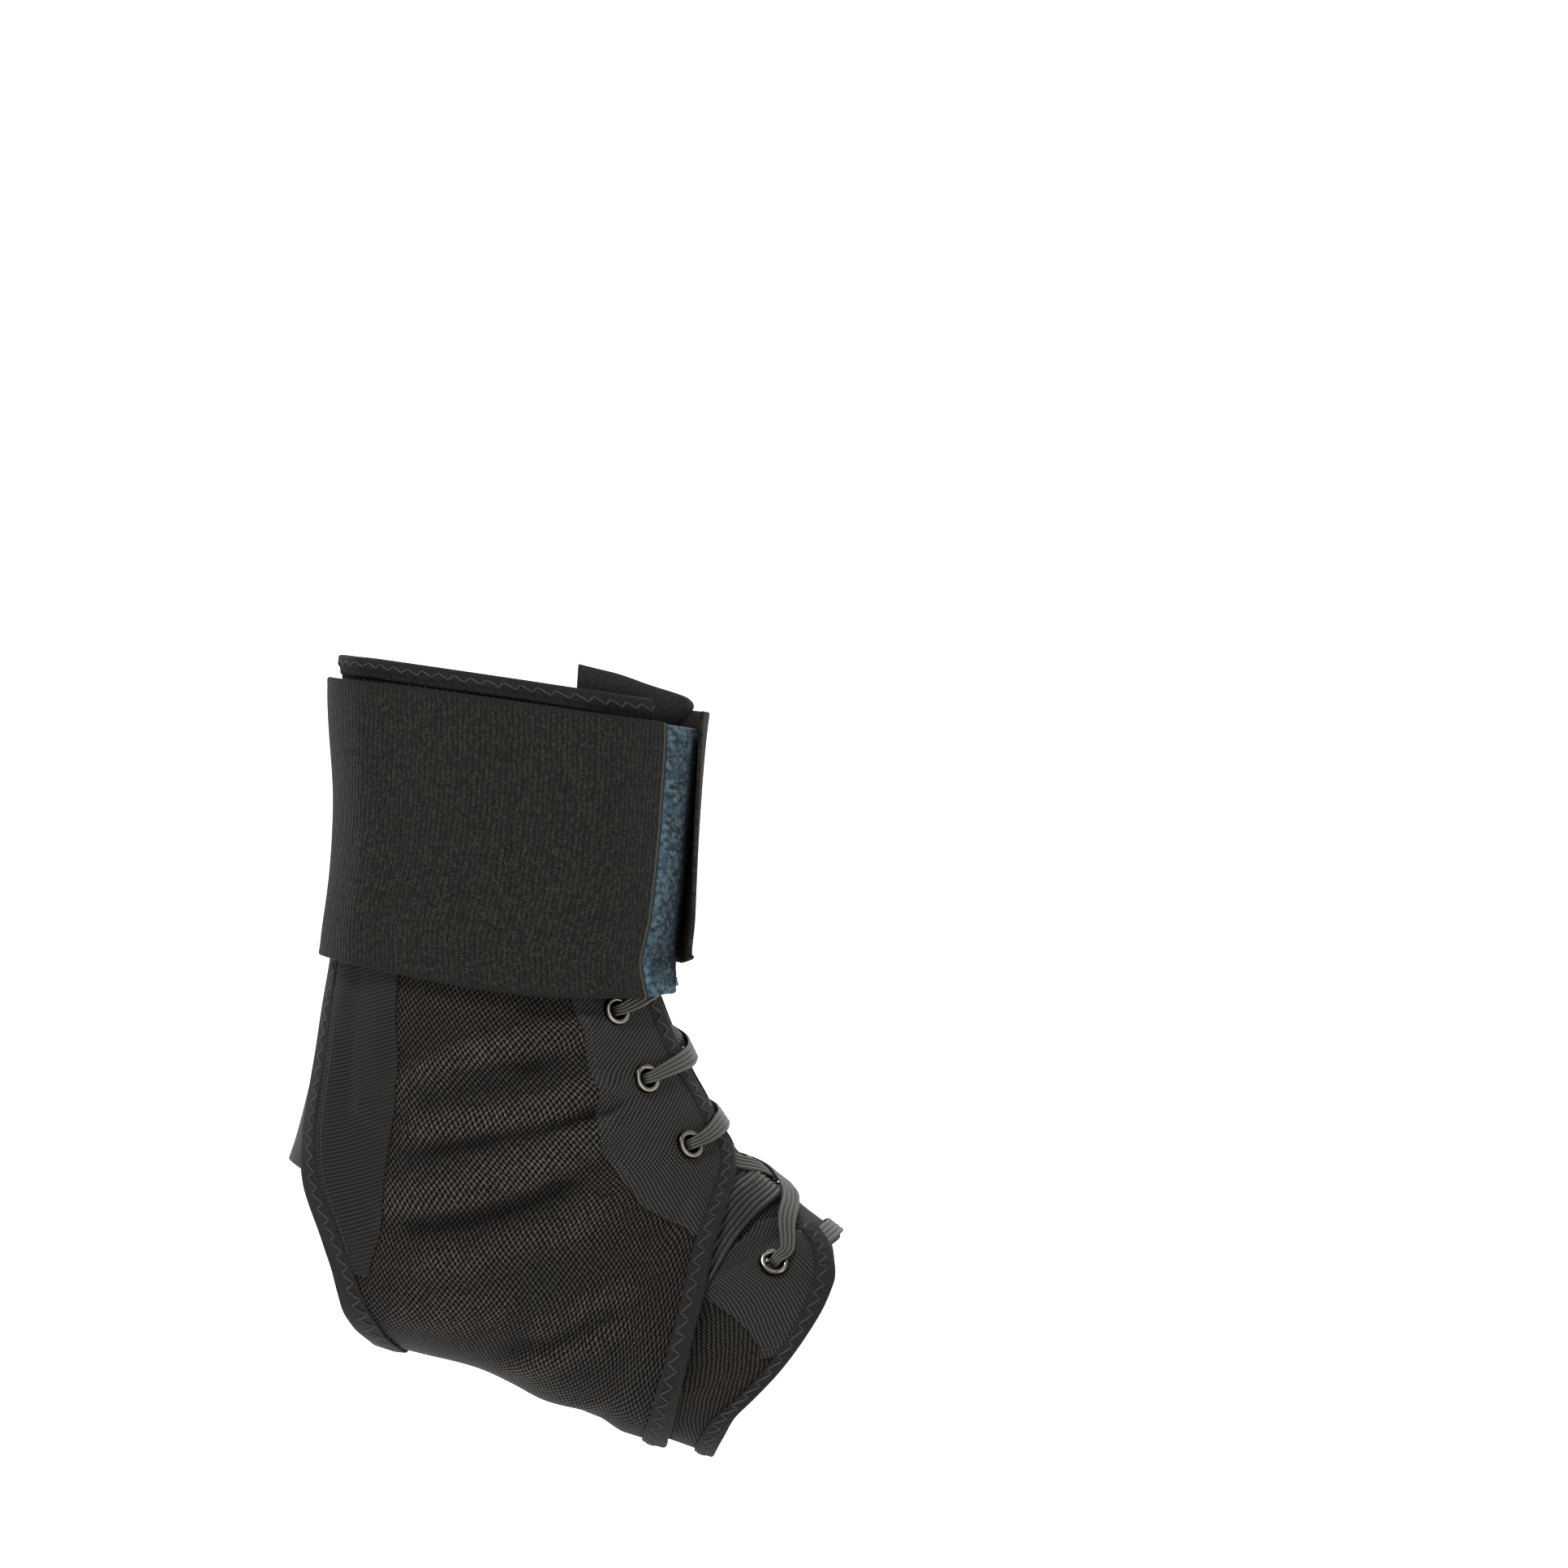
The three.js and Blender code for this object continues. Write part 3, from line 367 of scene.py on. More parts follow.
def fine_relief(s, th):
    """Height in mm of the fine folds; each fades out over its last quarter."""
    p = form(s, th)
    x, z = p[..., 0], p[..., 2]
    up, down = np.zeros(x.shape), np.zeros(x.shape)
    for line, high, half in FINE_FOLDS:
        places = np.array([((a - SIDE_X) * SIDE_STEP, (SIDE_Z - b) * SIDE_STEP) for a, b in line])
        runs = run_along(places)
        bump = np.zeros(x.shape)
        for k in range(len(line) - 1):
            (ax, az), (dx, dz) = places[k], places[k + 1] - places[k]
            t = np.clip(((x - ax) * dx + (z - az) * dz) / (dx * dx + dz * dz), 0, 1)
            far = np.hypot(x - ax - dx * t, z - az - dz * t) / half
            run = mix(runs[k], runs[k + 1], t) / runs[-1]
            fade = rise(run, 0.0, 0.22) * (1 - rise(run, 0.8, 1.0))
            bump = np.maximum(bump, fade * np.exp(-far * far))
        up, down = np.maximum(up, bump * max(high, 0)), np.minimum(down, bump * min(high, 0))
    return up + down


def ankle_base(v, w):
    """Height of the inner face of the ankle panel over the form."""
    inside = np.clip(w, 0, 1)
    s, th = ANKLE.place(v, inside)
    turn, wide = near_turn(th), ANKLE.across(v)
    from_front, from_back = inside * wide, (1 - inside) * wide
    half = tongue_half(s)
    lacing = SHELL_RISE * (1 - rise(turn, half - 0.05, half + 0.36)) * (1 - rise(s, 11.4, 12.6))
    stack = SHELL_WALL + INSTEP_WALL + 2 * GAP + 0.65
    low = (mix(stack, SHELL_WALL + GAP + 0.5, rise(turn, 1.6, 2.8))
           + fore_height(s, turn) * rise(turn, 0.55, 0.85))
    overlap = low * rise(s, 9.6, 10.8) * (1 - rise(from_front, 11, 20))
    heel = (ELASTIC_WALL + GAP + 0.15) * (1 - rise(from_back, 11, 19)) * (1 - rise(s, 8.9, 9.9))
    middle = rise(from_front, 8, 22) * rise(from_back, 7, 18)
    creased = rise(from_front, 5, 14) * rise(from_back, 6, 12)
    return (np.maximum(np.maximum(lacing, overlap), heel) + ridge(FOLDS, s, turn) * middle
            + fine_relief(s, turn) * creased)


def fore_base(v, w):
    s, th = FORE.place(v, np.clip(w, 0, 1))
    return fore_height(s, near_turn(th))


ANKLE, FORE = Panel(ANKLE_ROWS, ankle_base), Panel(FORE_ROWS, fore_base)


# --- Materials: small helpers that build node trees ---
def srgb(r, g, b):
    """Colour given as 0-255 numbers."""
    def line(c):
        c /= 255
        return c / 12.92 if c <= 0.04045 else ((c + 0.055) / 1.055) ** 2.4
    return (line(r), line(g), line(b), 1.0)


class Look:
    """One material; its cloth coordinates are millimetres across and along the piece."""

    def __init__(self, name, roughness, metallic=0.0, sheen=0.0, specular=0.5):
        self.mat = bpy.data.materials.new(name)
        self.mat.use_nodes = True
        self.tree = self.mat.node_tree
        self.shader = self.tree.nodes["Principled BSDF"]
        values = {"Roughness": roughness, "Metallic": metallic, "Sheen Weight": sheen,
                  "Sheen Roughness": 0.5, "Specular IOR Level": specular}
        for socket, value in values.items():
            self.shader.inputs[socket].default_value = value
        self.cloth = self.node("Attribute", attribute_name="cloth").outputs["Vector"]
        split = self.node("SeparateXYZ")
        self.put(split.inputs[0], self.cloth)
        self.u, self.v, self.e = split.outputs

    def node(self, kind, **settings):
        node = self.tree.nodes.new("ShaderNode" + kind)
        for name, value in settings.items():
            setattr(node, name, value)
        return node

    def put(self, socket, value):
        if isinstance(value, bpy.types.NodeSocket):
            self.tree.links.new(value, socket)
        else:
            socket.default_value = value

    def math(self, operation, *values):
        node = self.node("Math", operation=operation)
        for socket, value in zip(node.inputs, values):
            self.put(socket, value)
        return node.outputs[0]

    def wave(self, value, period, phase=0.0):
        """Cosine of the value with that period, -1 to 1."""
        return self.math("COSINE", self.math("MULTIPLY_ADD", value, 2 * math.pi / period, phase))

    def ribs(self, value, period):
        """The same wave from 0 to 1."""
        return self.math("MULTIPLY_ADD", self.wave(value, period), 0.5, 0.5)

    def span(self, value, low, high, to_low=0.0, to_high=1.0):
        node = self.node("MapRange", interpolation_type="SMOOTHSTEP")
        values = {"Value": value, "From Min": low, "From Max": high, "To Min": to_low, "To Max": to_high}
        for name, item in values.items():
            self.put(node.inputs[name], item)
        return node.outputs[0]

    def noise(self, scale, detail, vector=None):
        node = self.node("TexNoise")
        for name, value in {"Scale": scale, "Detail": detail, "Roughness": 0.5}.items():
            node.inputs[name].default_value = value
        self.put(node.inputs["Vector"], vector or self.cloth)
        return node.outputs[0]

    def place(self):
        """Position in millimetres, for marks that don't follow the cloth."""
        node = self.node("VectorMath", operation="SCALE")
        node.inputs["Scale"].default_value = 1 / MM
        self.put(node.inputs[0], self.node("TexCoord").outputs["Object"])
        return node.outputs[0]

    def stretched(self, share):
        """Cloth coordinates squeezed along the piece, for streaks that run that way."""
        node = self.node("VectorMath", operation="MULTIPLY")
        node.inputs[1].default_value = (1.0, share, 1.0)
        self.put(node.inputs[0], self.cloth)
        return node.outputs[0]

    def blend(self, factor, a, b):
        node = self.node("Mix", data_type="RGBA")
        for socket, value in zip((node.inputs[0], node.inputs[6], node.inputs[7]), (factor, a, b)):
            self.put(socket, value)
        return node.outputs[2]

    def part(self, factor, share, a, b):
        """Blend from a towards b, by a share of the factor."""
        return self.blend(self.math("MULTIPLY", factor, share), a, b)

    def drifted(self, scale, detail, reach):
        """Cloth coordinates that wander by up to that reach in mm."""
        drift = self.math("MULTIPLY_ADD", self.noise(scale, detail), 2 * reach, -reach)
        return self.math("ADD", self.u, drift), self.math("ADD", self.v, drift)

    def colour(self, socket):
        self.put(self.shader.inputs["Base Color"], socket)

    def rough(self, socket):
        self.put(self.shader.inputs["Roughness"], socket)

    def bump(self, distance, *terms):
        """Raises the surface by that distance in mm, times the sum of (value, share) pairs."""
        height = 0.0
        for value, share in terms:
            height = self.math("MULTIPLY_ADD", value, share, height)
        node = self.node("Bump")
        node.inputs["Strength"].default_value = 1.0
        node.inputs["Distance"].default_value = distance * MM
        self.put(node.inputs["Height"], height)
        self.put(self.shader.inputs["Normal"], node.outputs[0])


def mesh_look():
    """Open knit; the third cloth number is the height of the fold that the place lies on, and it paints
    shade into fold valleys and highlight onto fold ridges.
    """
    look = Look("mesh_fabric", roughness=0.6, sheen=0.015, specular=0.09)
    u, v = look.drifted(0.07, 2, 0.8)
    lobe = look.math("MULTIPLY", look.wave(u, 1.36), look.wave(v, 2.0))
    strand = look.noise(2.4, 3)
    hole = look.span(look.math("MULTIPLY_ADD", look.noise(0.7, 2), 0.5, lobe), 0.04, 0.48)
    tone = look.span(look.noise(0.035, 2), 0.35, 0.65)
    grain = look.span(strand, 0.34, 0.66)
    # low and high: thread colours for the painted shade in fold valleys and the painted highlight on
    # fold ridges
    low = look.blend(grain, srgb(7, 6, 6), srgb(38, 34, 31))
    high = look.blend(grain, srgb(24, 21, 19), srgb(84, 75, 67))
    # Painted shade and highlight: the fold height turns the threads from the dark colours to the light
    # ones.
    thread = look.blend(look.span(look.e, -1.1, 1.5), low, high)
    thread = look.part(tone, 0.3, thread, srgb(25, 24, 23))
    look.colour(look.blend(hole, thread, srgb(3, 3, 2)))
    look.rough(look.span(hole, 0, 1, 0.56, 0.95))
    look.bump(0.3, (hole, -1.0), (strand, 0.35))
    return look.mat


def patch_look():
    look = Look("patch_fabric", roughness=0.58, sheen=0.02, specular=0.12)
    u, v = look.drifted(0.1, 2, 0.4)
    glint = look.span(look.math("MULTIPLY", look.wave(u, 1.25), look.wave(v, 1.25)), -0.1, 0.7)
    strand = look.noise(3.0, 3)
    body = look.blend(glint, srgb(2, 2, 2), srgb(70, 69, 65))
    look.colour(look.part(strand, 0.3, body, srgb(30, 30, 29)))
    look.bump(0.3, (glint, 1.0), (strand, 0.3))
    return look.mat


def pocket_look():
    look = Look("pocket_fabric", roughness=0.66, sheen=0.02, specular=0.1)
    twill = look.ribs(look.math("MULTIPLY_ADD", look.u, 0.35, look.v), 1.15)
    cross = look.wave(look.u, 1.62)
    body = look.part(twill, 0.65, srgb(5, 5, 5), srgb(45, 44, 42))
    tint = look.span(look.noise(0.05, 2), 0.4, 0.65)
    look.colour(look.part(tint, 0.4, body, srgb(27, 26, 24)))
    look.bump(0.12, (twill, 1.0), (cross, 0.2), (look.noise(2.2, 3), 0.3))
    return look.mat


def tape_look():
    look = Look("binding_tape", roughness=0.72, sheen=0.02, specular=0.1)
    grain = look.noise(1.6, 4)
    body = look.blend(look.span(grain, 0.3, 0.72), srgb(13, 12, 11), srgb(35, 33, 30))
    look.colour(look.part(look.noise(0.35, 2), 0.3, body, srgb(29, 28, 26)))
    look.bump(0.12, (look.wave(look.u, 0.62), 0.3), (look.wave(look.v, 0.5), 0.2), (grain, 1.0))
    return look.mat


def band_look():
    """Ribbed elastic; the third cloth number is the distance to a selvage in mm."""
    look = Look("band_elastic", roughness=0.76, sheen=0.02, specular=0.08)
    rib = look.ribs(look.drifted(0.16, 3, 1.0)[0], 1.5)
    grain = look.noise(2.3, 3)
    streak = look.noise(0.7, 3, look.stretched(0.04))
    body = look.blend(look.span(rib, 0.0, 0.55), srgb(4, 4, 4), srgb(26, 26, 23))
    body = look.part(look.span(grain, 0.46, 0.68), 0.6, body, srgb(62, 61, 55))
    body = look.part(look.span(streak, 0.36, 0.62), 0.62, body, srgb(9, 9, 8))
    body = look.blend(look.span(look.e, 0.0, 1.2), srgb(22, 22, 20), body)
    # Painted highlight: a light line just inside the starting end of the piece, for the light on its end
    # face.
    end_highlight = look.math("MULTIPLY", look.span(look.u, 0.3, 0.6), look.span(look.u, 0.9, 1.4, 1.0, 0.0))
    look.colour(look.blend(end_highlight, body, srgb(60, 59, 55)))
    look.bump(0.2, (rib, 0.8), (look.ribs(look.v, 0.7), 0.3), (grain, 0.6))
    return look.mat


def plain_elastic_look():
    look = Look("plain_elastic", roughness=0.55, sheen=0.02, specular=0.12)
    grain, rib = look.noise(2.2, 3), look.ribs(look.u, 0.9)
    body = look.blend(look.span(grain, 0.3, 0.7), srgb(21, 21, 19), srgb(41, 40, 37))
    look.colour(look.blend(look.span(rib, 0.0, 0.5, 0.45, 0.0), body, srgb(13, 13, 12)))
    look.bump(0.12, (look.ribs(look.v, 0.7), 0.4), (rib, 0.6), (grain, 0.4))
    return look.mat


def cord_elastic_look():
    """Elastic of round cords; the third cloth number is 1 on a cord and 0 between two."""
    look = Look("cord_elastic", roughness=0.5, sheen=0.02, specular=0.2)
    grain = look.noise(2.4, 3)
    body = look.blend(look.span(grain, 0.3, 0.7), srgb(17, 16, 15), srgb(47, 45, 41))
    look.colour(look.blend(look.span(look.e, 0.5, 0.92), srgb(2, 2, 2), body))
    look.bump(0.08, (look.ribs(look.v, 0.55), 0.5), (grain, 0.4))
    return look.mat


def jersey_look():
    look = Look("tongue_jersey", roughness=0.78, sheen=0.03, specular=0.1)
    grain = look.noise(1.2, 4)
    look.colour(look.blend(look.span(grain, 0.3, 0.7), srgb(22, 22, 22), srgb(38, 38, 37)))
    look.bump(0.1, (look.ribs(look.u, 0.55), 0.5), (look.ribs(look.v, 0.45), 0.3), (grain, 0.5))
    return look.mat


def lace_look():
    look = Look("lace_fabric", roughness=0.55, sheen=0.02, specular=0.16)
    grain = look.noise(2.4, 3)
    groove = look.wave(look.u, LACE_WIDTH / LACE_RIBS, math.pi)
    glint = look.span(look.math("MULTIPLY_ADD", look.wave(look.v, 0.95), 0.25, groove), -0.9, 0.9)
    body = look.blend(look.span(grain, 0.3, 0.7), srgb(22, 22, 21), srgb(47, 46, 43))
    look.colour(look.part(glint, 0.6, body, srgb(84, 83, 78)))
    look.bump(0.1, (glint, 0.5), (grain, 0.5))
    return look.mat


def pile_look():
    look = Look("loop_pile", roughness=0.95, sheen=0.08, specular=0.05)
    clump, fibre = look.noise(0.45, 4), look.noise(3.4, 3)
    dark = srgb(24, 38, 47)
    body = look.blend(look.span(clump, 0.35, 0.68), dark, srgb(86, 108, 120))
    look.colour(look.part(fibre, 0.5, body, dark))
    look.bump(0.5, (clump, 1.0), (fibre, 0.7))
    return look.mat


def thread_look():
    look = Look("stitch_thread", roughness=0.5, sheen=0.02, specular=0.2)
    ply = look.ribs(look.math("ADD", look.u, look.v), 0.5)
    look.colour(look.blend(ply, srgb(24, 23, 21), srgb(63, 60, 55)))
    look.bump(0.05, (ply, 1.0))
    return look.mat


def metal_look():
    """Darkened metal; the third cloth number is 1 on the crest of the roll, where a highlight is painted
    bright, and a little noise for wear moves its edge.
    """
    look = Look("eyelet_metal", roughness=0.26, metallic=1.0)
    wear = look.noise(0.5, 3, look.place())
    highlight_and_wear = look.span(look.math("MULTIPLY_ADD", wear, 0.3, look.e), 0.35, 1.3)
    # Painted highlight: the crest is coloured bright and the slopes dark.
    look.colour(look.blend(highlight_and_wear, srgb(24, 22, 20), srgb(168, 162, 150)))
    look.rough(look.span(look.noise(0.6, 2, look.place()), 0.3, 0.7, 0.2, 0.34))
    return look.mat


# Material and slot of each look.
LOOKS = {
    "mesh": (mesh_look(), "mesh_fabric"),
    "patch": (patch_look(), "patch_fabric"),
    "pocket": (pocket_look(), "patch_fabric"),
    "tape": (tape_look(), "binding_tape"),
    "band": (band_look(), "band_elastic"),
    "plain": (plain_elastic_look(), "plain_elastic"),
    "cord": (cord_elastic_look(), "plain_elastic"),
    "jersey": (jersey_look(), "tongue_fabric"),
    "lace": (lace_look(), "lace_fabric"),
    "pile": (pile_look(), "loop_pile"),
    "thread": (thread_look(), "binding_tape"),
    "metal": (metal_look(), "eyelet_metal"),
}

# --- Mesh building ---
def add_object(name, data):
    thing = bpy.data.objects.new(name, data)
    bpy.context.scene.collection.objects.link(thing)
    return thing


def build(name, points, quads, cloth, look, nodes=()):
    """Object from points in mm, four-sided faces and cloth coordinates."""
    mesh = bpy.data.meshes.new(name)
    mesh.vertices.add(len(points))
    mesh.vertices.foreach_set("co", (np.asarray(points) * MM).astype(np.float32).ravel())
    mesh.loops.add(quads.size)
    mesh.loops.foreach_set("vertex_index", quads.astype(np.int32).ravel())
    mesh.polygons.add(len(quads))
    mesh.polygons.foreach_set("loop_start", np.arange(0, quads.size, 4, dtype=np.int32))
    mesh.update(calc_edges=True)
    mesh.validate()
    attribute = mesh.attributes.new("cloth", "FLOAT_VECTOR", "POINT")
    attribute.data.foreach_set("vector", np.asarray(cloth, np.float32).ravel())
    work = bmesh.new()
    work.from_mesh(mesh)
    bmesh.ops.recalc_face_normals(work, faces=work.faces)
    for face in work.faces:
        face.smooth = True
    work.to_mesh(mesh)
    work.free()
    material, slot = LOOKS[look]
    mesh.materials.append(material)
    piece = add_object(name, mesh)
    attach(piece, "root")
    if nodes:
        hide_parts(*nodes)
    return piece


# Turns at which rows are added round an edge of cloth, and the third cloth number where none is needed.
ROUND = np.radians([38.0, 66.0, 86.0])
AWAY = 5.0


def with_rims(mid, half, cloth):
    """Adds rows past the four ends of a grid, so that its edges come out round."""
    def grow(at_start):
        a, b = (0, 1) if at_start else (-1, -2)
        out = unit(mid[a] - mid[b])
        step = norm(mid[a] - mid[b], axis=-1, keepdims=True)
        cloth_out = (cloth[a] - cloth[b]) / np.maximum(step, 1e-6)
        new = []
        for turn in ROUND:
            reach = (half[a] * math.sin(turn))[..., None]
            new.append((mid[a] + out * reach, half[a] * math.cos(turn), cloth[a] + cloth_out * reach))
        if at_start:
            new = new[::-1]
        added = [np.stack(rows) for rows in zip(*new)]
        pairs = zip(added, (mid, half, cloth)) if at_start else zip((mid, half, cloth), added)
        return [np.concatenate(pair) for pair in pairs]

    for _ in range(2):
        mid, half, cloth = grow(True)
        mid, half, cloth = grow(False)
        mid, half, cloth = np.swapaxes(mid, 0, 1), half.T, np.swapaxes(cloth, 0, 1)
    return mid, half, cloth


def grid_normals(mid):
    return unit(np.cross(np.gradient(mid, axis=0), np.gradient(mid, axis=1)))


def solid_sheet(name, mid, half, cloth, look, nodes, drop=None):
    """Closed piece of cloth around a grid of middle points, with round edges.
    cloth holds (across, along, third) in mm; drop marks the grid cells to leave out."""
    rows, cols = mid.shape[:2]
    half = np.broadcast_to(np.asarray(half, float), (rows, cols)).copy()
    if cloth.shape[-1] == 2:
        cloth = np.concatenate([cloth, np.full(cloth.shape[:2] + (1,), AWAY)], -1)
    mid, half, cloth = with_rims(mid, half, cloth)
    n = grid_normals(mid)
    top, bottom = mid + n * half[..., None], mid - n * half[..., None]
    r, c = mid.shape[:2]
    points = np.concatenate([top.reshape(-1, 3), bottom.reshape(-1, 3)])
    index = np.arange(r * c).reshape(r, c)
    low = index + r * c
    face = np.stack([index[:-1, :-1], index[1:, :-1], index[1:, 1:], index[:-1, 1:]], -1)
    walls = []
    if drop is not None:
        keep = ~drop(mid)
        cell = keep[:-1, :-1] & keep[1:, :-1] & keep[1:, 1:] & keep[:-1, 1:]
        face = face[cell]

        def wall(i, j, m, k):
            walls.append(np.stack([index[i, j], index[m, k], low[m, k], low[i, j]], -1))

        i, j = np.nonzero(cell[:, 1:] != cell[:, :-1])
        wall(i, j + 1, i + 1, j + 1)
        i, j = np.nonzero(cell[1:] != cell[:-1])
        wall(i + 1, j, i + 1, j + 1)
    face = face.reshape(-1, 4)
    quads = [face, (face + r * c)[:, ::-1], *walls]

    def strip(a, b):
        quads.append(np.stack([a[:-1], a[1:], b[1:], b[:-1]], -1))

    strip(index[0], low[0])
    strip(low[-1], index[-1])
    strip(low[:, 0], index[:, 0])
    strip(index[:, -1], low[:, -1])
    flat = cloth.reshape(-1, 3)
    return build(name, points, np.concatenate(quads), np.concatenate([flat, flat]), look, nodes)


def tubes(name, lines, radius, look, sides=6):
    """Thin round threads along many short lines, given as (count, steps, 3) in mm."""
    lines = np.asarray(lines, float)
    count, steps = lines.shape[:2]
    ahead = unit(np.gradient(lines, axis=1))
    aside = np.where(np.abs(ahead[..., 2:3]) > 0.9, np.array([1.0, 0, 0]), np.array([0, 0, 1.0]))
    x = unit(np.cross(ahead, aside))
    y = np.cross(ahead, x)
    turn = np.arange(sides) * 2 * math.pi / sides
    taper = np.ones(steps)
    taper[[0, -1]] = 0.35
    r = (radius * taper)[None, :, None, None]
    cos, sin = np.cos(turn)[None, None, :, None], np.sin(turn)[None, None, :, None]
    ring = lines[:, :, None, :] + r * (x[:, :, None, :] * cos + y[:, :, None, :] * sin)
    index = np.arange(count * steps * sides).reshape(count, steps, sides)
    nxt = np.roll(index, -1, axis=2)
    quads = np.stack([index[:, :-1], nxt[:, :-1], nxt[:, 1:], index[:, 1:]], -1).reshape(-1, 4)
    run = runs_of(lines)[1]
    cloth = np.stack(np.broadcast_arrays(turn * radius, run[:, :, None], AWAY), -1).reshape(-1, 3)
    return build(name, ring.reshape(-1, 3), quads, cloth, look)


def measured(grid):
    """Width, length and area in metres of a grid of cloth, as cut."""
    wide = norm(np.diff(grid, axis=1), axis=2).sum(1)
    run = norm(np.diff(grid, axis=0), axis=2).sum(0)
    a, b = np.diff(grid, axis=0)[:, :-1], np.diff(grid, axis=1)[:-1]
    area = norm(np.cross(a, b), axis=2).sum()
    return wide.max() * MM, run.max() * MM, area * MM * MM


def edged(grid):
    """Cloth numbers of a grid: distance along it, across it and to its nearer side, in mm."""
    run, wide = runs_of(grid)
    return np.stack([run, wide, np.minimum(wide, wide[:, -1:] - wide)], -1)


def unevenness(u, v, size, high):
    """Slow seeded swell of a cloth surface, in mm."""
    out = np.zeros(np.broadcast(u, v).shape)
    for _ in range(6):
        turn, phase = rng.uniform(0, math.pi), rng.uniform(0, 6.28)
        length = size * rng.uniform(0.7, 1.6)
        out = out + np.sin((u * math.cos(turn) + v * math.sin(turn)) * 2 * math.pi / length + phase)
    return out * high / 6


# --- The pieces ---
def eyelet_frame(index, far):
    """Place, axes and height of an eyelet."""
    s, turn = EYELET_SPOTS[index]
    th = -turn if far else turn
    n = normal(s, th)
    around = unit(np.cross(n, unit(form(s + 0.2, th) - form(s - 0.2, th))))
    return {"at": form(s, th), "n": n, "along": np.cross(around, n), "around": around,
            "rise": EYELET_RISE[index]}


SIDES = (("near", False), ("far", True))
FRAMES = {far: [eyelet_frame(i, far) for i in range(len(EYELETS))] for _, far in SIDES}


def holes(frames):
    """Marks the points of a grid that lie inside an eyelet's hole."""
    def inside(mid):
        out = np.zeros(mid.shape[:2], bool)
        for f in frames:
            gap = mid - f["at"]
            up = gap @ f["n"]
            flat = norm(gap - up[..., None] * f["n"], axis=-1)
            out |= (flat < HOLE_IN_CLOTH) & (up > 0) & (up < 12)
        return out
    return inside


# How far the weave of the mesh and of the facings is turned from their panels.
MESH_TURN, FACING_TURN = 0.2, 0.12


def turned(a, b, angle):
    c, k = math.cos(angle), math.sin(angle)
    return a * c - b * k, a * k + b * c


def panel_sheet(name, source, rows, cols, node, frames, fold=None):
    v, w = unit_grid(rows, cols)
    across, along = (w - 0.5) * source.across(v), source.along(v)
    mid = source.cover(v, w, SHELL_WALL / 2 + unevenness(across, along, 26, 0.12))
    # Fold heights that the mesh look turns into painted shade and highlight; they do not move the cloth.
    fold_shade = fold(v, w) if fold else np.zeros(v.shape)
    cloth = np.stack([*turned(across, along, MESH_TURN), fold_shade], -1)
    return solid_sheet(name, mid, CLOTH_HALF, cloth, "mesh", [node], holes(frames)), mid


# Fold heights used only for the painted shade and highlight of the mesh.
def ankle_fold_shade(v, w):
    s, th = ANKLE.place(v, w)
    turn = near_turn(th)
    return fine_relief(s, turn) + 0.5 * ridge(FOLDS, s, turn)


def tape_point(source, atback):
    """Surface along the edge of a panel: place v along it, q in from the edge, h over the base."""
    return lambda v, q, h: source.cover(v, source.inset(v, q, atback), h)


def top_point(far):
    """The same along the top edge of the ankle panel."""
    def point(w, q, h):
        step = 0.05
        run = norm(form(*ANKLE.place(step, w)) - form(*ANKLE.place(0.0, w)), axis=-1) / step
        v = q / run
        s, th = ANKLE.place(v, w)
        return over(s, np.where(far, -th, th), ankle_base(np.maximum(v, 0), w) + h)
    return point


def fold_section(wide, sink):
    """Middle line of a folded tape, from its stitched edge round the cut edge of the panel."""
    skip = GAP + TAPE_WALL / 2
    flat = []
    for t in (1, 0.93, 0.85, 0.78, 0.7, 0.6, 0.5, 0.35, 0.2, 0.08):
        dip = sink * float(rise(wide * t, 5.6, 7.4))
        flat.append((wide * t, TAPE_MIDDLE + 0.12 * math.sin(math.pi * t) - dip))
    turn = [(-skip * math.sin(a), TAPE_MIDDLE - 0.6 * (1 - math.cos(a)))
            for a in np.radians([10, 35, 60, 85])]
    return np.array(flat + turn + [(-skip, 0.75), (-skip, 0.35), (-skip * 0.8, 0.12)])


def tape(name, point, runs, wide, node, seed, sink=0.0):
    """Folded edge tape with a faint pucker at each stitch.
    runs are places along it and the lengths up to them."""
    place, length = runs[0], runs[1][:, None]
    section = fold_section(wide, sink)
    q = section[None, :, 0] * np.ones((len(place), 1))
    pucker = 0.1 * np.sin(length * 2 * math.pi / 2.5 + 3 * np.sin(length / 17 + seed))
    fade = rise(section[None, :, 0], 0.2, wide * 0.6)
    h = section[None, :, 1] + pucker * fade + 0.1 * np.sin(length / 6.1 + seed) * fade
    q = q + (0.16 * np.sin(length / 9.3 + seed * 2)) * fade
    mid = point(place[:, None] * np.ones_like(q), q, h)
    cloth = np.stack(np.broadcast_arrays(run_along(section)[None, :], length), -1)
    return solid_sheet(name, mid, TAPE_WALL / 2 - 0.02, cloth, "tape", [node])


def zigzag(name, point, runs, low, high, top):
    """Zigzag seam between two distances from the folded edge."""
    place, length = runs
    count = int(length[-1] / ZIGZAG_PITCH * 2)
    marks = np.linspace(0.6, length[-1] - 0.6, count + 1)
    q = np.where(np.arange(count + 1) % 2 == 0, low, high) + 0.18 * np.sin(marks / 7.7)
    q = q + rng.uniform(-0.14, 0.14, count + 1)
    t = np.linspace(0, 1, 8)
    run = mix(marks[:-1, None], marks[1:, None], t)
    across = mix(q[:-1, None], q[1:, None], t)
    h = top + 0.2 * np.sin(math.pi * t) - 0.08
    line = point(np.interp(run, length, place), across, h[None, :] * np.ones_like(across))
    return tubes(name, line, ZIGZAG_RADIUS, "thread")


def edge_runs(source, start, end, atback):
    v = np.linspace(start, end, EDGE_COUNT)
    line = form(*source.place(v, np.full(EDGE_COUNT, 1.0 if atback else 0.0)))
    return v, run_along(line)


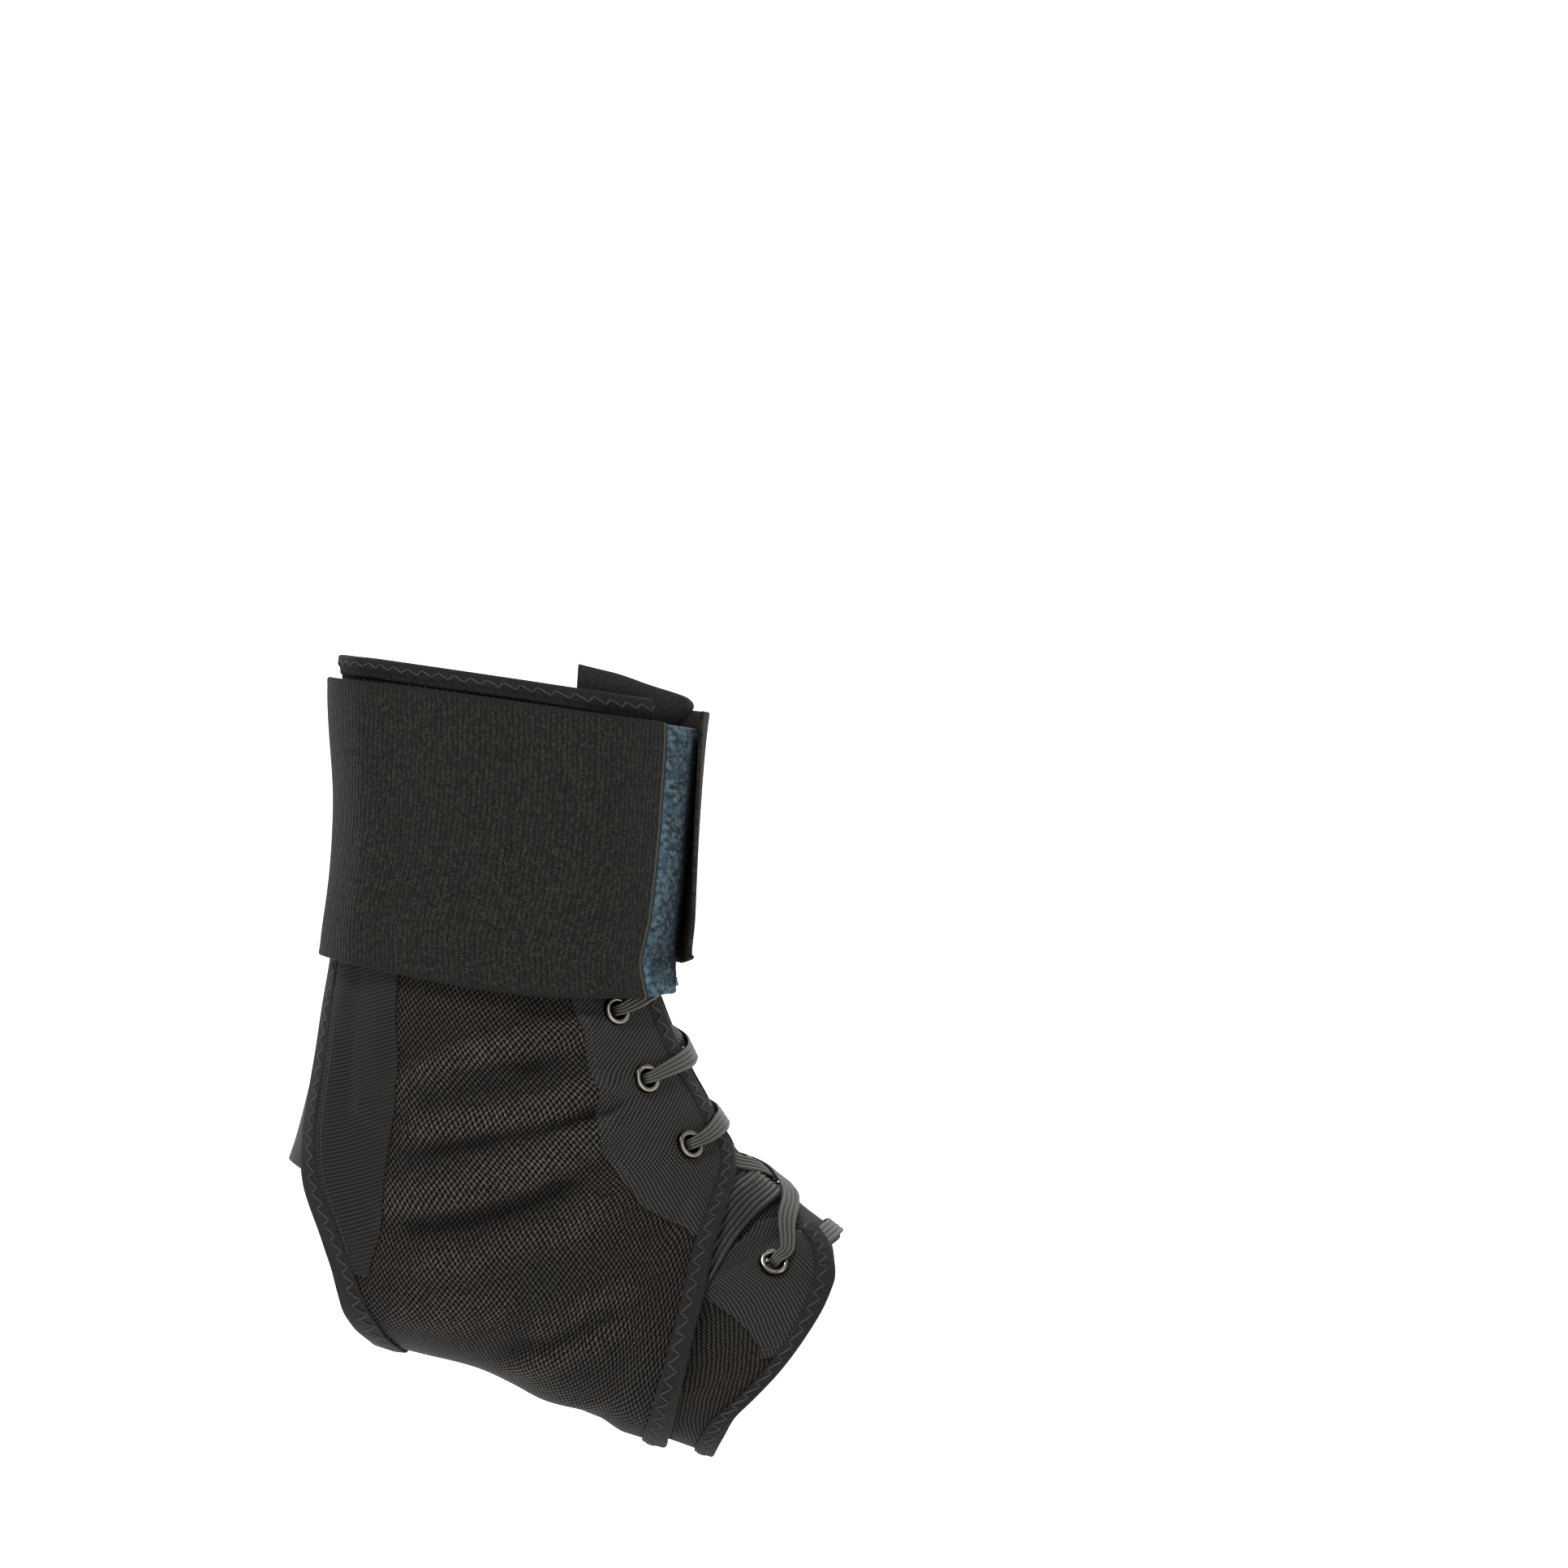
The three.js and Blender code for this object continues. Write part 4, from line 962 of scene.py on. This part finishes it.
def stitches(name, point, t, r):
    """Straight seam through the places t, r of a sewn piece, each stitch a low arch of thread."""
    t, r = np.broadcast_arrays(t, r)
    run = run_along(point(t, r, np.full(len(t), PATCH_WALL)))
    starts = np.arange(0.4, run[-1] - STITCH_LENGTH, STITCH_LENGTH + STITCH_GAP)
    step = np.linspace(0, 1, 5)
    marks = starts[:, None] + STITCH_LENGTH * step
    a, b = np.interp(marks, run, t), np.interp(marks, run, r)
    h = PATCH_WALL + 0.16 * np.sin(math.pi * step) - 0.06
    return tubes(name, point(a, b, h[None, :] * np.ones_like(a)), STITCH_RADIUS, "thread")


def sewn(source, start, end, near, reaches, from_back, far):
    """Surface of a piece sewn on a panel: t along it, r across it, h over its lower face."""
    def point(t, r, h):
        v = mix(start, end, t)
        reach = through(reaches, t * (len(reaches) - 1))[..., 0]
        w = source.inset(v, mix(near, reach, r), from_back)
        return source.cover(v, w, PATCH_BASE + SEWN_DOWN + h, far)
    return point


def sewn_piece(name, point, rows, cols, look, node, frames, grain):
    t, r = unit_grid(rows, cols)
    mid = point(t, r, np.full(t.shape, PATCH_WALL / 2))
    down, across = runs_of(mid)
    cloth = np.stack(turned(across, np.broadcast_to(down[:, :1], across.shape), grain), -1)
    drop = holes(frames) if frames else None
    return solid_sheet(name, mid, PATCH_WALL / 2, cloth, look, [node], drop)


def tongue():
    v, w = unit_grid(130, 44)
    turn = (w - 0.5) * 2
    top, end = 0.72 - 0.42 * np.abs(turn), 16.35 - 0.35 * turn * turn
    s = mix(top, end, v)
    th = turn * tongue_half(s)
    lift = 6.2 * (1 - rise(s, 0.5, 1.5)) * (1 - rise(np.abs(th), 0.25, 0.62))
    thick = mix(0.9, TONGUE_WALL, rise(0.5 - np.abs(w - 0.5), 0, 0.14))
    mid = over(s, th, lift + thick / 2)
    run, wide = runs_of(mid)
    cloth = np.stack([wide, run], -1)
    return solid_sheet("tongue_pad", mid, thick / 2, cloth, "jersey", ["tongue"])


def back_elastic():
    v, w = unit_grid(110, 34)
    side = (w - 0.5) * 2
    s = mix(0.75, 8.4 + 0.25 * side * side, v)
    th = math.pi + side * mix(0.44, 0.5, rise(s, 4.5, 7.5))
    mid = over(s, th, np.full(s.shape, ELASTIC_WALL / 2))
    run, wide = runs_of(mid)
    cloth = np.stack([wide, run], -1)
    return solid_sheet("achilles_elastic", mid, 0.48, cloth, "plain", ["back_elastic"]), mid


def instep_elastic():
    route = [[float(q) for q in locate(x, z)] for x, z in INSTEP_ROUTE]
    route += [[11.55, 0.25], [11.5, 0.0]]
    full = np.array(route + [[s, -th] for s, th in route[-2::-1]])
    count = len(full) - 1
    cols = INSTEP_CORDS * 8 + 1
    t, r = unit_grid(150, cols)
    here = through(full, t * count)
    s, th = here[..., 0], here[..., 1]
    b = through(full, np.clip(t + 0.01, 0, 1) * count)
    a = through(full, np.clip(t - 0.01, 0, 1) * count)
    ahead = unit(form(b[..., 0], b[..., 1]) - form(a[..., 0], a[..., 1]))
    n = normal(s, th)
    sideways = unit(np.cross(n, ahead))
    along = form(s + 0.2, th) - form(s - 0.2, th)
    around = form(s, th + 0.05) - form(s, th - 0.05)
    q = (r - 0.5) * INSTEP_WIDTH
    target = sideways * q[..., None]
    aa, bb, ab = (along * along).sum(-1), (around * around).sum(-1), (along * around).sum(-1)
    ta, tb = (target * along).sum(-1), (target * around).sum(-1)
    det = aa * bb - ab * ab
    ds, dth = 0.4 * (ta * bb - tb * ab) / det, 0.1 * (tb * aa - ta * ab) / det
    turn = np.abs(th + dth)
    on_panel = np.maximum(rise(turn, 0.8, 1.0), rise(turn, 0.14, 0.34) * rise(-q, -5.8, -1.4))
    pad = 0.1 + mix(TONGUE_WALL + GAP, fore_height(s + ds, turn), rise(turn, 0.14, 0.34))
    rib = np.abs(np.sin(math.pi * r * INSTEP_CORDS)) ** 0.6
    mid = over(s + ds, th + dth, pad + on_panel * (SHELL_WALL + GAP) + INSTEP_WALL / 2)
    cloth = np.stack([q, runs_of(mid)[0], rib], -1)
    half = 0.1 + 0.48 * rib
    return solid_sheet("instep_elastic_ribbed", mid, half, cloth, "cord", ["instep_elastic"]), mid


def band_base(th):
    """Height of what the wrap lies on."""
    turn = np.abs(np.where(th > math.pi, th - 2 * math.pi, th))
    front = mix(BAND_RISE, 1.85, rise(turn, 0.86, 1.5))
    return front + 2.4 * rise(turn, 2.2, 2.55) - 0.5 * rise(turn, 3.0, 3.14)


def band_bottom(th):
    return 5.95 - 0.85 * (1 - np.cos(th)) / 2


def band_start(t):
    return 0.6 - 0.25 * t * (1 - t) + 0.07 * t


def wrap_point(v, w, h):
    th = mix(band_start(w), 2 * math.pi - BAND_SHORT, v)
    slip = -0.28 * rise(th, 4.4, 5.7)
    s = mix(BAND_TOP + slip, band_bottom(th) + slip, w)
    wave = -0.4 * np.sin(math.pi * w) ** 2 * rise(th, 2, 3)
    return over(s, th, band_base(th) + BAND_STEP * rise(th, 5.1, 5.6) + BAND_STAND + wave + h)


def wrap():
    v, w = unit_grid(270, 70)
    cloth = edged(wrap_point(v, w, np.full(v.shape, BAND_WALL / 2)))
    run, wide, edge = np.moveaxis(cloth, -1, 0)
    swell = unevenness(run, wide, 34, 0.22) * rise(edge, 0, 8)
    curl = 0.12 * np.sin(run / 11.0) * (1 - rise(edge, 0, 5))
    bead = 0.03 * (1 - rise(edge, 0.6, 2.2))
    mid = wrap_point(v, w, BAND_WALL / 2 + swell + curl)
    return solid_sheet("wrap_band", mid, 0.62 + bead, cloth, "band", ["elastic_wrap"]), mid


def patch_rise(th):
    """Height of the loop pile's lower face where it lies on the tongue and the lace."""
    return mix(BAND_RISE - 1.6, BAND_RISE, rise(np.abs(th), 0.0, 0.42))


def loop_point(v, w, h):
    th = mix(band_start(w) - 0.012, LOOP_END, v)
    s = mix(BAND_TOP + 0.03, band_bottom(th) - 0.03 - 0.4 * v, w)
    tuck = 1.8 * rise(w, 0.86, 1.0) * (1 - rise(th, 0.25, 0.5))
    seat = mix(patch_rise(th), band_base(th) + BAND_STAND, rise(th, 0.35, 0.55))
    return over(s, th, seat - tuck + h)


def loop_pile():
    v, w = unit_grid(84, 136)
    cloth = edged(loop_point(v, w, np.full(v.shape, LOOP_WALL / 2)))
    run, wide, edge = np.moveaxis(cloth, -1, 0)
    selvage = rise(np.minimum(run - 0.4, edge + 0.6), 0.9, 2.2)
    fluff = unevenness(run, wide, 2.4, 0.5) + unevenness(run, wide, 1.1, 0.35)
    thick = mix(0.75, 1.0, selvage)
    half = thick * (LOOP_WALL / 2 - 0.1)
    mid = loop_point(v, w, LOOP_WALL / 2 - (1 - selvage) * 0.3 + fluff * 0.35 * selvage)
    return solid_sheet("loop_pile_pad", mid, half, cloth, "pile", ["loop_patch"]), mid


def loop_yarn():
    """Small arched loops of yarn standing on the loop pile."""
    v, w = rng.uniform(0.02, 0.9, YARN_COUNT), rng.uniform(0.012, 0.988, YARN_COUNT)
    base = loop_point(v, w, np.full(YARN_COUNT, LOOP_WALL - 0.15))
    n = unit(loop_point(v, w, np.full(YARN_COUNT, LOOP_WALL - 0.15 + 1.0)) - base)
    side = unit(np.cross(n, unit(rng.normal(size=(YARN_COUNT, 3)))))
    lean = unit(rng.normal(size=(YARN_COUNT, 3))) * 0.25 * YARN_HEIGHT
    span = rng.uniform(0.5, 1.0, YARN_COUNT)[:, None] * YARN_SPAN
    tall = rng.uniform(0.55, 1.0, YARN_COUNT)[:, None] * YARN_HEIGHT
    t = np.linspace(0, 1, 5)
    arch = np.sin(math.pi * t)
    lines = (base[:, None, :] + side[:, None, :] * (span[:, :, None] * (t - 0.5)[None, :, None])
             + n[:, None, :] * (tall[:, :, None] * arch[None, :, None])
             + lean[:, None, :] * arch[None, :, None])
    return tubes("loop_pile_yarn", lines, YARN_RADIUS, "pile", sides=3)


def tab_point(v, w, h):
    th = mix(TAB_START, TAB_END, v)
    s = mix(0.78, 5.17, w)
    on_wrap, on_loops = BAND_RISE + BAND_STAND + BAND_STEP, patch_rise(th) + LOOP_WALL + GAP
    seat = mix(on_wrap, on_loops, rise(th, -BAND_SHORT, -0.35))
    stand = mix(0, 26, w) * (1 / np.cos(np.maximum(th + 0.12, 0)) - 1)
    stand = stand + 2.4 * rise(th, -0.1, 0.3) * w
    return over(s, th, seat + 0.65 + stand + h)


def hook_tab():
    v, w = unit_grid(60, 70)
    mid = tab_point(v, w, np.full(v.shape, TAB_WALL / 2 + 0.12))
    return solid_sheet("tab_band", mid, 0.55, edged(mid), "band", ["hook_tab"]), mid


def eyelet(name, f, node):
    """Rolled metal eyelet, turned round its own axis."""
    low, high = f["rise"] - RIM_UNDER, f["rise"] + RIM_OVER
    r0, r1, t = HOLE_RADIUS, FLANGE_RADIUS, FLANGE_WALL
    # Radius, height and how much painted highlight it gets, from the hole outwards under the cloth.
    profile = [
        (r0 + 0.02, low, 0.2), (r0 + 0.7, low, 0.4), (r1 - 0.3, low + 0.02, 0.5),
        (r1 - 0.05, low + 0.2, 0.4), (r1 - 0.3, low + t, 0.1), (r0 + 0.5, low + t, 0.0),
        (r0 + 0.5, high - 0.9, 0.0), (r1 - 0.2, high - 0.9, 0.0),
    ]
    middle, half = (r0 + r1) / 2, (r1 - r0) / 2
    for k in range(ROLL_STEPS + 1):
        a = math.pi * k / ROLL_STEPS
        top = high - 0.42 + 0.86 * math.sin(a) ** 0.8
        # The crest of the roll gets the most painted highlight.
        profile.append((middle + half * math.cos(a), top, max(math.sin(a), 0) ** 3))
    profile += [(r0, mix(low, high, 0.66), 0.0), (r0, mix(low, high, 0.33), 0.0), (r0, low + 0.1, 0.1)]
    radius, height, highlight_and_wear = np.array(profile).T
    turn = np.arange(EYELET_SIDES) * 2 * math.pi / EYELET_SIDES
    out = np.cos(turn)[:, None, None] * f["along"] + np.sin(turn)[:, None, None] * f["around"]
    ring = f["at"] + height[None, :, None] * f["n"] + radius[None, :, None] * out
    a, k = ring.shape[:2]
    index = np.arange(a * k).reshape(a, k)
    right, down = np.roll(index, -1, 0), np.roll(index, -1, 1)
    quads = np.stack([index, right, np.roll(right, -1, 1), down], -1).reshape(-1, 4)
    cloth = np.stack(np.broadcast_arrays(turn[:, None] * r1, height, highlight_and_wear), -1)
    return build(name, ring.reshape(-1, 3), quads, cloth.reshape(-1, 3), "metal", [node])


def lace_stops():
    """Stops of the lace in the order that it runs: station, turn, height, width share, lean."""
    low, high = LACE_LOW + LACE_WALL / 2, LACE_HIGH + LACE_WALL / 2
    stops = []

    def hole(row, far, outward):
        s, turn = EYELET_SPOTS[row]
        sign = -1 if far else 1
        th, drop = turn * sign, SHELL_RISE - EYELET_RISE[row]
        course = [
            (0.12, 0.13, low - drop, 0.8, 0),
            (0.02, 0.03, low - drop + 0.25, 0.62, 0.35),
            (0, 0, FLANGE_LOW - drop + 0.9, 0.56, 1),
            (0, 0, FLANGE_HIGH - drop - 0.2, 0.56, 1),
            (-0.02, 0.03, high - drop - 0.15, 0.62, 0.35),
            (-0.12, 0.13, high - drop, 0.8, 0),
        ]
        course = [(s + ds, th - sign * dth, *rest) for ds, dth, *rest in course]
        stops.extend(course if outward else course[::-1])

    def cross(row, from_far, backwards, above):
        (s0, a), (s1, b) = EYELET_SPOTS[row], EYELET_SPOTS[row + 1]
        sign, middle, half = (-1 if from_far else 1), (0.95 if above else 0), a / (a + b)
        if row == 0:
            course = [(-0.38, 6.5), (-0.2, 5.45), (0, 3.85 + middle), (0.12, 4.3), (0.21, 4.0)]
        else:
            course = [(-0.25, high - 0.75), (-0.12, 5.4), (0, 3.3 + middle),
                      (0.12, low + 0.25), (0.24, low)]
        course = [(mix(s0, s1, half + k), sign * mix(a, -b, half + k), d, 1, 0) for k, d in course]
        stops.extend(course[::-1] if backwards else course)

    def over_instep(row, ds, course):
        s, turn = EYELET_SPOTS[row]
        for t, d in course:
            stops.append((s + ds, (-1 if far else 1) * mix(1, -1, t) * turn, d, 1, 0))

    top = len(EYELETS) - 1
    far = False
    for row in range(top):
        hole(row, far, True)
        cross(row, far, False, row % 2 == 0)
        far = not far
    hole(top, far, True)
    end = high - 0.3
    over_instep(top, -0.3, [(0.25, end), (0.38, 6.1), (0.5, 5.7), (0.62, 6.1), (0.75, end)])
    far = not far
    hole(top, far, False)
    for row in range(top - 1, -1, -1):
        cross(row, not far, True, row % 2 == 1)
        far = not far
        hole(row, far, False)
    over_instep(0, 0.35, [(t, low + 0.15) for t in (0.22, 0.34, 0.5, 0.66, 0.78)])
    return np.array(stops, float)


def lace():
    stops = lace_stops()
    wrapped = np.concatenate([stops[-2:], stops, stops[:3]])
    path = through(wrapped, 2 + np.arange(len(stops) * LACE_STEPS + 1) / LACE_STEPS)
    s, th, d, wide, lean = path.T
    spots = over(s, th, d)
    ahead = unit(np.roll(spots[:-1], -1, 0) - np.roll(spots[:-1], 1, 0))
    ahead = np.concatenate([ahead, ahead[:1]])
    n = normal(s, th)
    around = unit(form(s, th + 0.05) - form(s, th - 0.05))
    base = unit(np.cross(n, ahead))
    lean = np.clip(lean, 0, 1)
    alt = unit(np.cross(n, around))
    alt = np.where((alt * base).sum(-1, keepdims=True) < 0, -alt, alt)
    sideways = unit(mix(base, alt, rise(lean, 0.2, 0.9)[:, None]))
    for _ in range(3):
        sideways[1:-1] = unit(sideways[:-2] + 2 * sideways[1:-1] + sideways[2:])
    up = unit(np.cross(sideways, ahead))
    x = np.linspace(-1, 1, 5 * LACE_RIBS + 1)
    lobe = 0.35 + 0.65 * np.abs(np.sin(np.pi * (x + 1) / 2 * LACE_RIBS)) ** 0.7
    lobe = lobe * np.sqrt(np.maximum(1 - np.abs(x) ** 9, 0.08))
    section_x, section_h = np.concatenate([x, x[::-1]]), np.concatenate([lobe, -lobe[::-1]])
    half = LACE_WIDTH / 2 * np.clip(wide, 0.5, 1)
    thick = LACE_WALL / 2 * mix(1.0, 1.6, rise(lean, 0.5, 1))
    ring = (spots[:, None, :] + sideways[:, None, :] * (half[:, None] * section_x)[..., None]
            + up[:, None, :] * (thick[:, None] * section_h)[..., None])
    rows, size = ring.shape[:2]
    index = np.arange(rows * size).reshape(rows, size)
    nxt = np.roll(index, -1, 1)
    quads = np.stack([index[:-1], nxt[:-1], nxt[1:], index[1:]], -1).reshape(-1, 4)
    cloth = np.broadcast_arrays(section_x * LACE_WIDTH / 2, run_along(spots)[:, None], AWAY)
    cloth = np.stack(cloth, -1).reshape(-1, 3)
    return build("lace_band", ring.reshape(-1, 3), quads, cloth, "lace", ["lace"])


# --- Camera, light and floor ---
# The view is PICTURE side-view steps wide and high; lens and sensor are in mm, all else in metres.
STEP = SIDE_STEP * MM
PICTURE = 1932
LENS, SENSOR = 300.0, 36.0
LAMPS = (  # name, place in metres, size, watts
    ("key", (-0.35, -0.95, 1.6), (0.5, 0.5), 38),
    ("fill", (1.2, -1.0, 0.4), (0.5, 0.9), 4),
    ("back", (0.1, 1.1, 1.1), (1.0, 0.7), 8),
)
AIM = Vector((0.02, 0, 0))
FLOOR_Z, FLOOR_HALF, FLOOR_BACK, FLOOR_TOP = -0.1005, 12.0, 2.5, 8.0
FLOOR_BEND, BEND_STEPS = 2.0, 24
WORLD_LIGHT, FLOOR_GLOW = 0.32, 0.78


def set_camera():
    camera = bpy.data.cameras.new("camera")
    camera.lens, camera.sensor_width = LENS, SENSOR
    camera.clip_start, camera.clip_end = 0.1, 50
    distance = LENS / SENSOR * PICTURE * STEP
    holder = add_object("camera", camera)
    middle = PICTURE / 2
    centre = Vector(((middle - SIDE_X) * STEP, 0.0, (SIDE_Z - middle) * STEP))
    holder.location = centre + Vector((0, -distance - 0.02, 0))
    holder.rotation_euler = (math.pi / 2, 0, 0)
    bpy.context.scene.camera = holder


def set_light():
    world = bpy.data.worlds.new("studio")
    world.use_nodes = True
    background = world.node_tree.nodes["Background"]
    background.inputs[0].default_value = (1, 1, 1, 1)
    background.inputs[1].default_value = WORLD_LIGHT
    bpy.context.scene.world = world
    bpy.context.scene.view_settings.view_transform = "Standard"
    for name, at, (wide, high), power in LAMPS:
        light = bpy.data.lights.new(name, "AREA")
        light.shape, light.size, light.size_y, light.energy = "RECTANGLE", wide, high, power
        lamp = add_object(name, light)
        lamp.location = at
        lamp.rotation_euler = (AIM - Vector(at)).to_track_quat("-Z", "Y").to_euler()


def set_floor():
    """Pale floor that bends up into a wall far behind the part."""
    floor = bpy.data.meshes.new("floor")
    profile = [(-FLOOR_HALF / 2, 0.0)]
    for a in np.linspace(0, math.pi / 2, BEND_STEPS):
        profile.append((FLOOR_BACK + math.sin(a) * FLOOR_BEND, FLOOR_BEND - math.cos(a) * FLOOR_BEND))
    profile.append((FLOOR_BACK + FLOOR_BEND, FLOOR_TOP))
    k = len(profile)
    points = [(x, y, z + FLOOR_Z) for x in (-FLOOR_HALF, FLOOR_HALF) for y, z in profile]
    floor.from_pydata(points, [], [(i, i + 1, i + 1 + k, i + k) for i in range(k - 1)])
    for polygon in floor.polygons:
        polygon.use_smooth = True
    mat = bpy.data.materials.new("pale_floor")
    mat.use_nodes = True
    shader = mat.node_tree.nodes["Principled BSDF"]
    shader.inputs["Base Color"].default_value = (0.93, 0.93, 0.93, 1)
    shader.inputs["Roughness"].default_value = 0.9
    shader.inputs["Emission Color"].default_value = (1, 1, 1, 1)
    shader.inputs["Emission Strength"].default_value = FLOOR_GLOW
    floor.materials.append(mat)
    add_object("floor", floor)


# --- Assembly ---
# Steps along the two panels in the CAD source, at which trims and sewn pieces begin and end.
ANKLE_STEPS, FORE_STEPS = 42, 34


def edge_trim(label, source, atback, wide, steps, trim):
    """Folded tape along a panel's edge, with its zigzag seam."""
    point = tape_point(source, atback)
    runs = edge_runs(source, 2 / steps, (steps - 2) / steps, atback)
    trim.append(tape(f"{label}_tape", point, runs, wide, f"{label}_binding", len(trim) + wide))
    trim.append(zigzag(f"{label}_zigzag", point, runs, wide - 3.9, wide - 0.6, SEAM_TOP))


def top_trim(side, far, trim):
    point = top_point(far)
    w = np.linspace(0.0, 1.0, 200)
    runs = w, run_along(form(*ANKLE.place(np.zeros(200), w)))
    seed = 1.7 if far else 0.4
    trim.append(tape(f"top_tape_{side}", point, runs, TOP_TAPE_WIDTH, f"top_binding_{side}",
                     seed, TOP_TAPE_SINK))
    trim.append(zigzag(f"top_zigzag_{side}", point, runs, *TOP_SEAM, SEAM_TOP + 0.12))


def side_trim(side, far, ankle_trim, fore_trim):
    """Facings, stay pocket and eyelets of one side."""
    frames = FRAMES[far]
    point = sewn(ANKLE, 3 / ANKLE_STEPS, 14 / ANKLE_STEPS, TAPE_WIDTH + GAP,
                 EYELET_PATCH_REACH, False, far)
    ankle_trim.append(sewn_piece(f"eyelet_facing_{side}", point, 130, 34, "patch",
                                 f"eyelet_patch_{side}", frames[1:], FACING_TURN))
    ankle_trim.append(stitches(f"eyelet_facing_seam_{side}", point, np.linspace(0.0, 0.99, 160), 0.94))
    point = sewn(FORE, 2 / FORE_STEPS, 10 / FORE_STEPS, TAPE_WIDTH + GAP,
                 FORE_PATCH_REACH, False, far)
    fore_trim.append(sewn_piece(f"forefoot_facing_{side}", point, 70, 30, "patch",
                                f"forefoot_patch_{side}", frames[:1], FACING_TURN))
    fore_trim.append(stitches(f"forefoot_facing_seam_{side}", point, 0.95, np.linspace(0.0, 0.97, 60)))
    point = sewn(ANKLE, 5.2 / ANKLE_STEPS, 14 / ANKLE_STEPS, HEEL_TAPE_WIDTH + GAP,
                 POCKET_REACH, True, far)
    ankle_trim.append(sewn_piece(f"stay_pocket_cloth_{side}", point, 90, 30, "pocket",
                                 f"stay_pocket_{side}", None, 0.0))
    ankle_trim.append(stitches(f"stay_pocket_seam_{side}", point, np.linspace(0.0, 0.93, 120), 0.12))
    for i, f in enumerate(frames):
        eyelet(f"eyelet_ring_{side}_{i + 1}", f, f"eyelet_{side}_{i + 1}")


def declare(made):
    piece, mid = made
    wide, long, area = measured(mid)


def put_together():
    pad = tongue()
    ankle_eyelets = [f for _, far in SIDES for f in FRAMES[far][1:]]
    fore_eyelets = [FRAMES[far][0] for _, far in SIDES]
    shell = panel_sheet("ankle_mesh", ANKLE, 300, 118, "ankle_shell", ankle_eyelets, ankle_fold_shade)
    fore = panel_sheet("forefoot_mesh", FORE, 230, 56, "forefoot_panel", fore_eyelets)
    elastic, instep = back_elastic(), instep_elastic()

    ankle_trim, fore_trim = [], []
    edge_trim("front", ANKLE, False, TAPE_WIDTH, ANKLE_STEPS, ankle_trim)
    edge_trim("heel", ANKLE, True, HEEL_TAPE_WIDTH, ANKLE_STEPS, ankle_trim)
    edge_trim("forefoot", FORE, False, TAPE_WIDTH, FORE_STEPS, fore_trim)
    for side, far in SIDES:
        top_trim(side, far, ankle_trim)
    for side, far in SIDES:
        side_trim(side, far, ankle_trim, fore_trim)
    lace()
    band, pile = wrap(), loop_pile()
    loops = loop_yarn()
    tab = hook_tab()

    declare(shell)
    declare(fore)
    declare(elastic)
    declare(instep)
    declare(band)
    declare(pile)
    declare(tab)


set_camera()
set_light()
set_floor()
put_together()
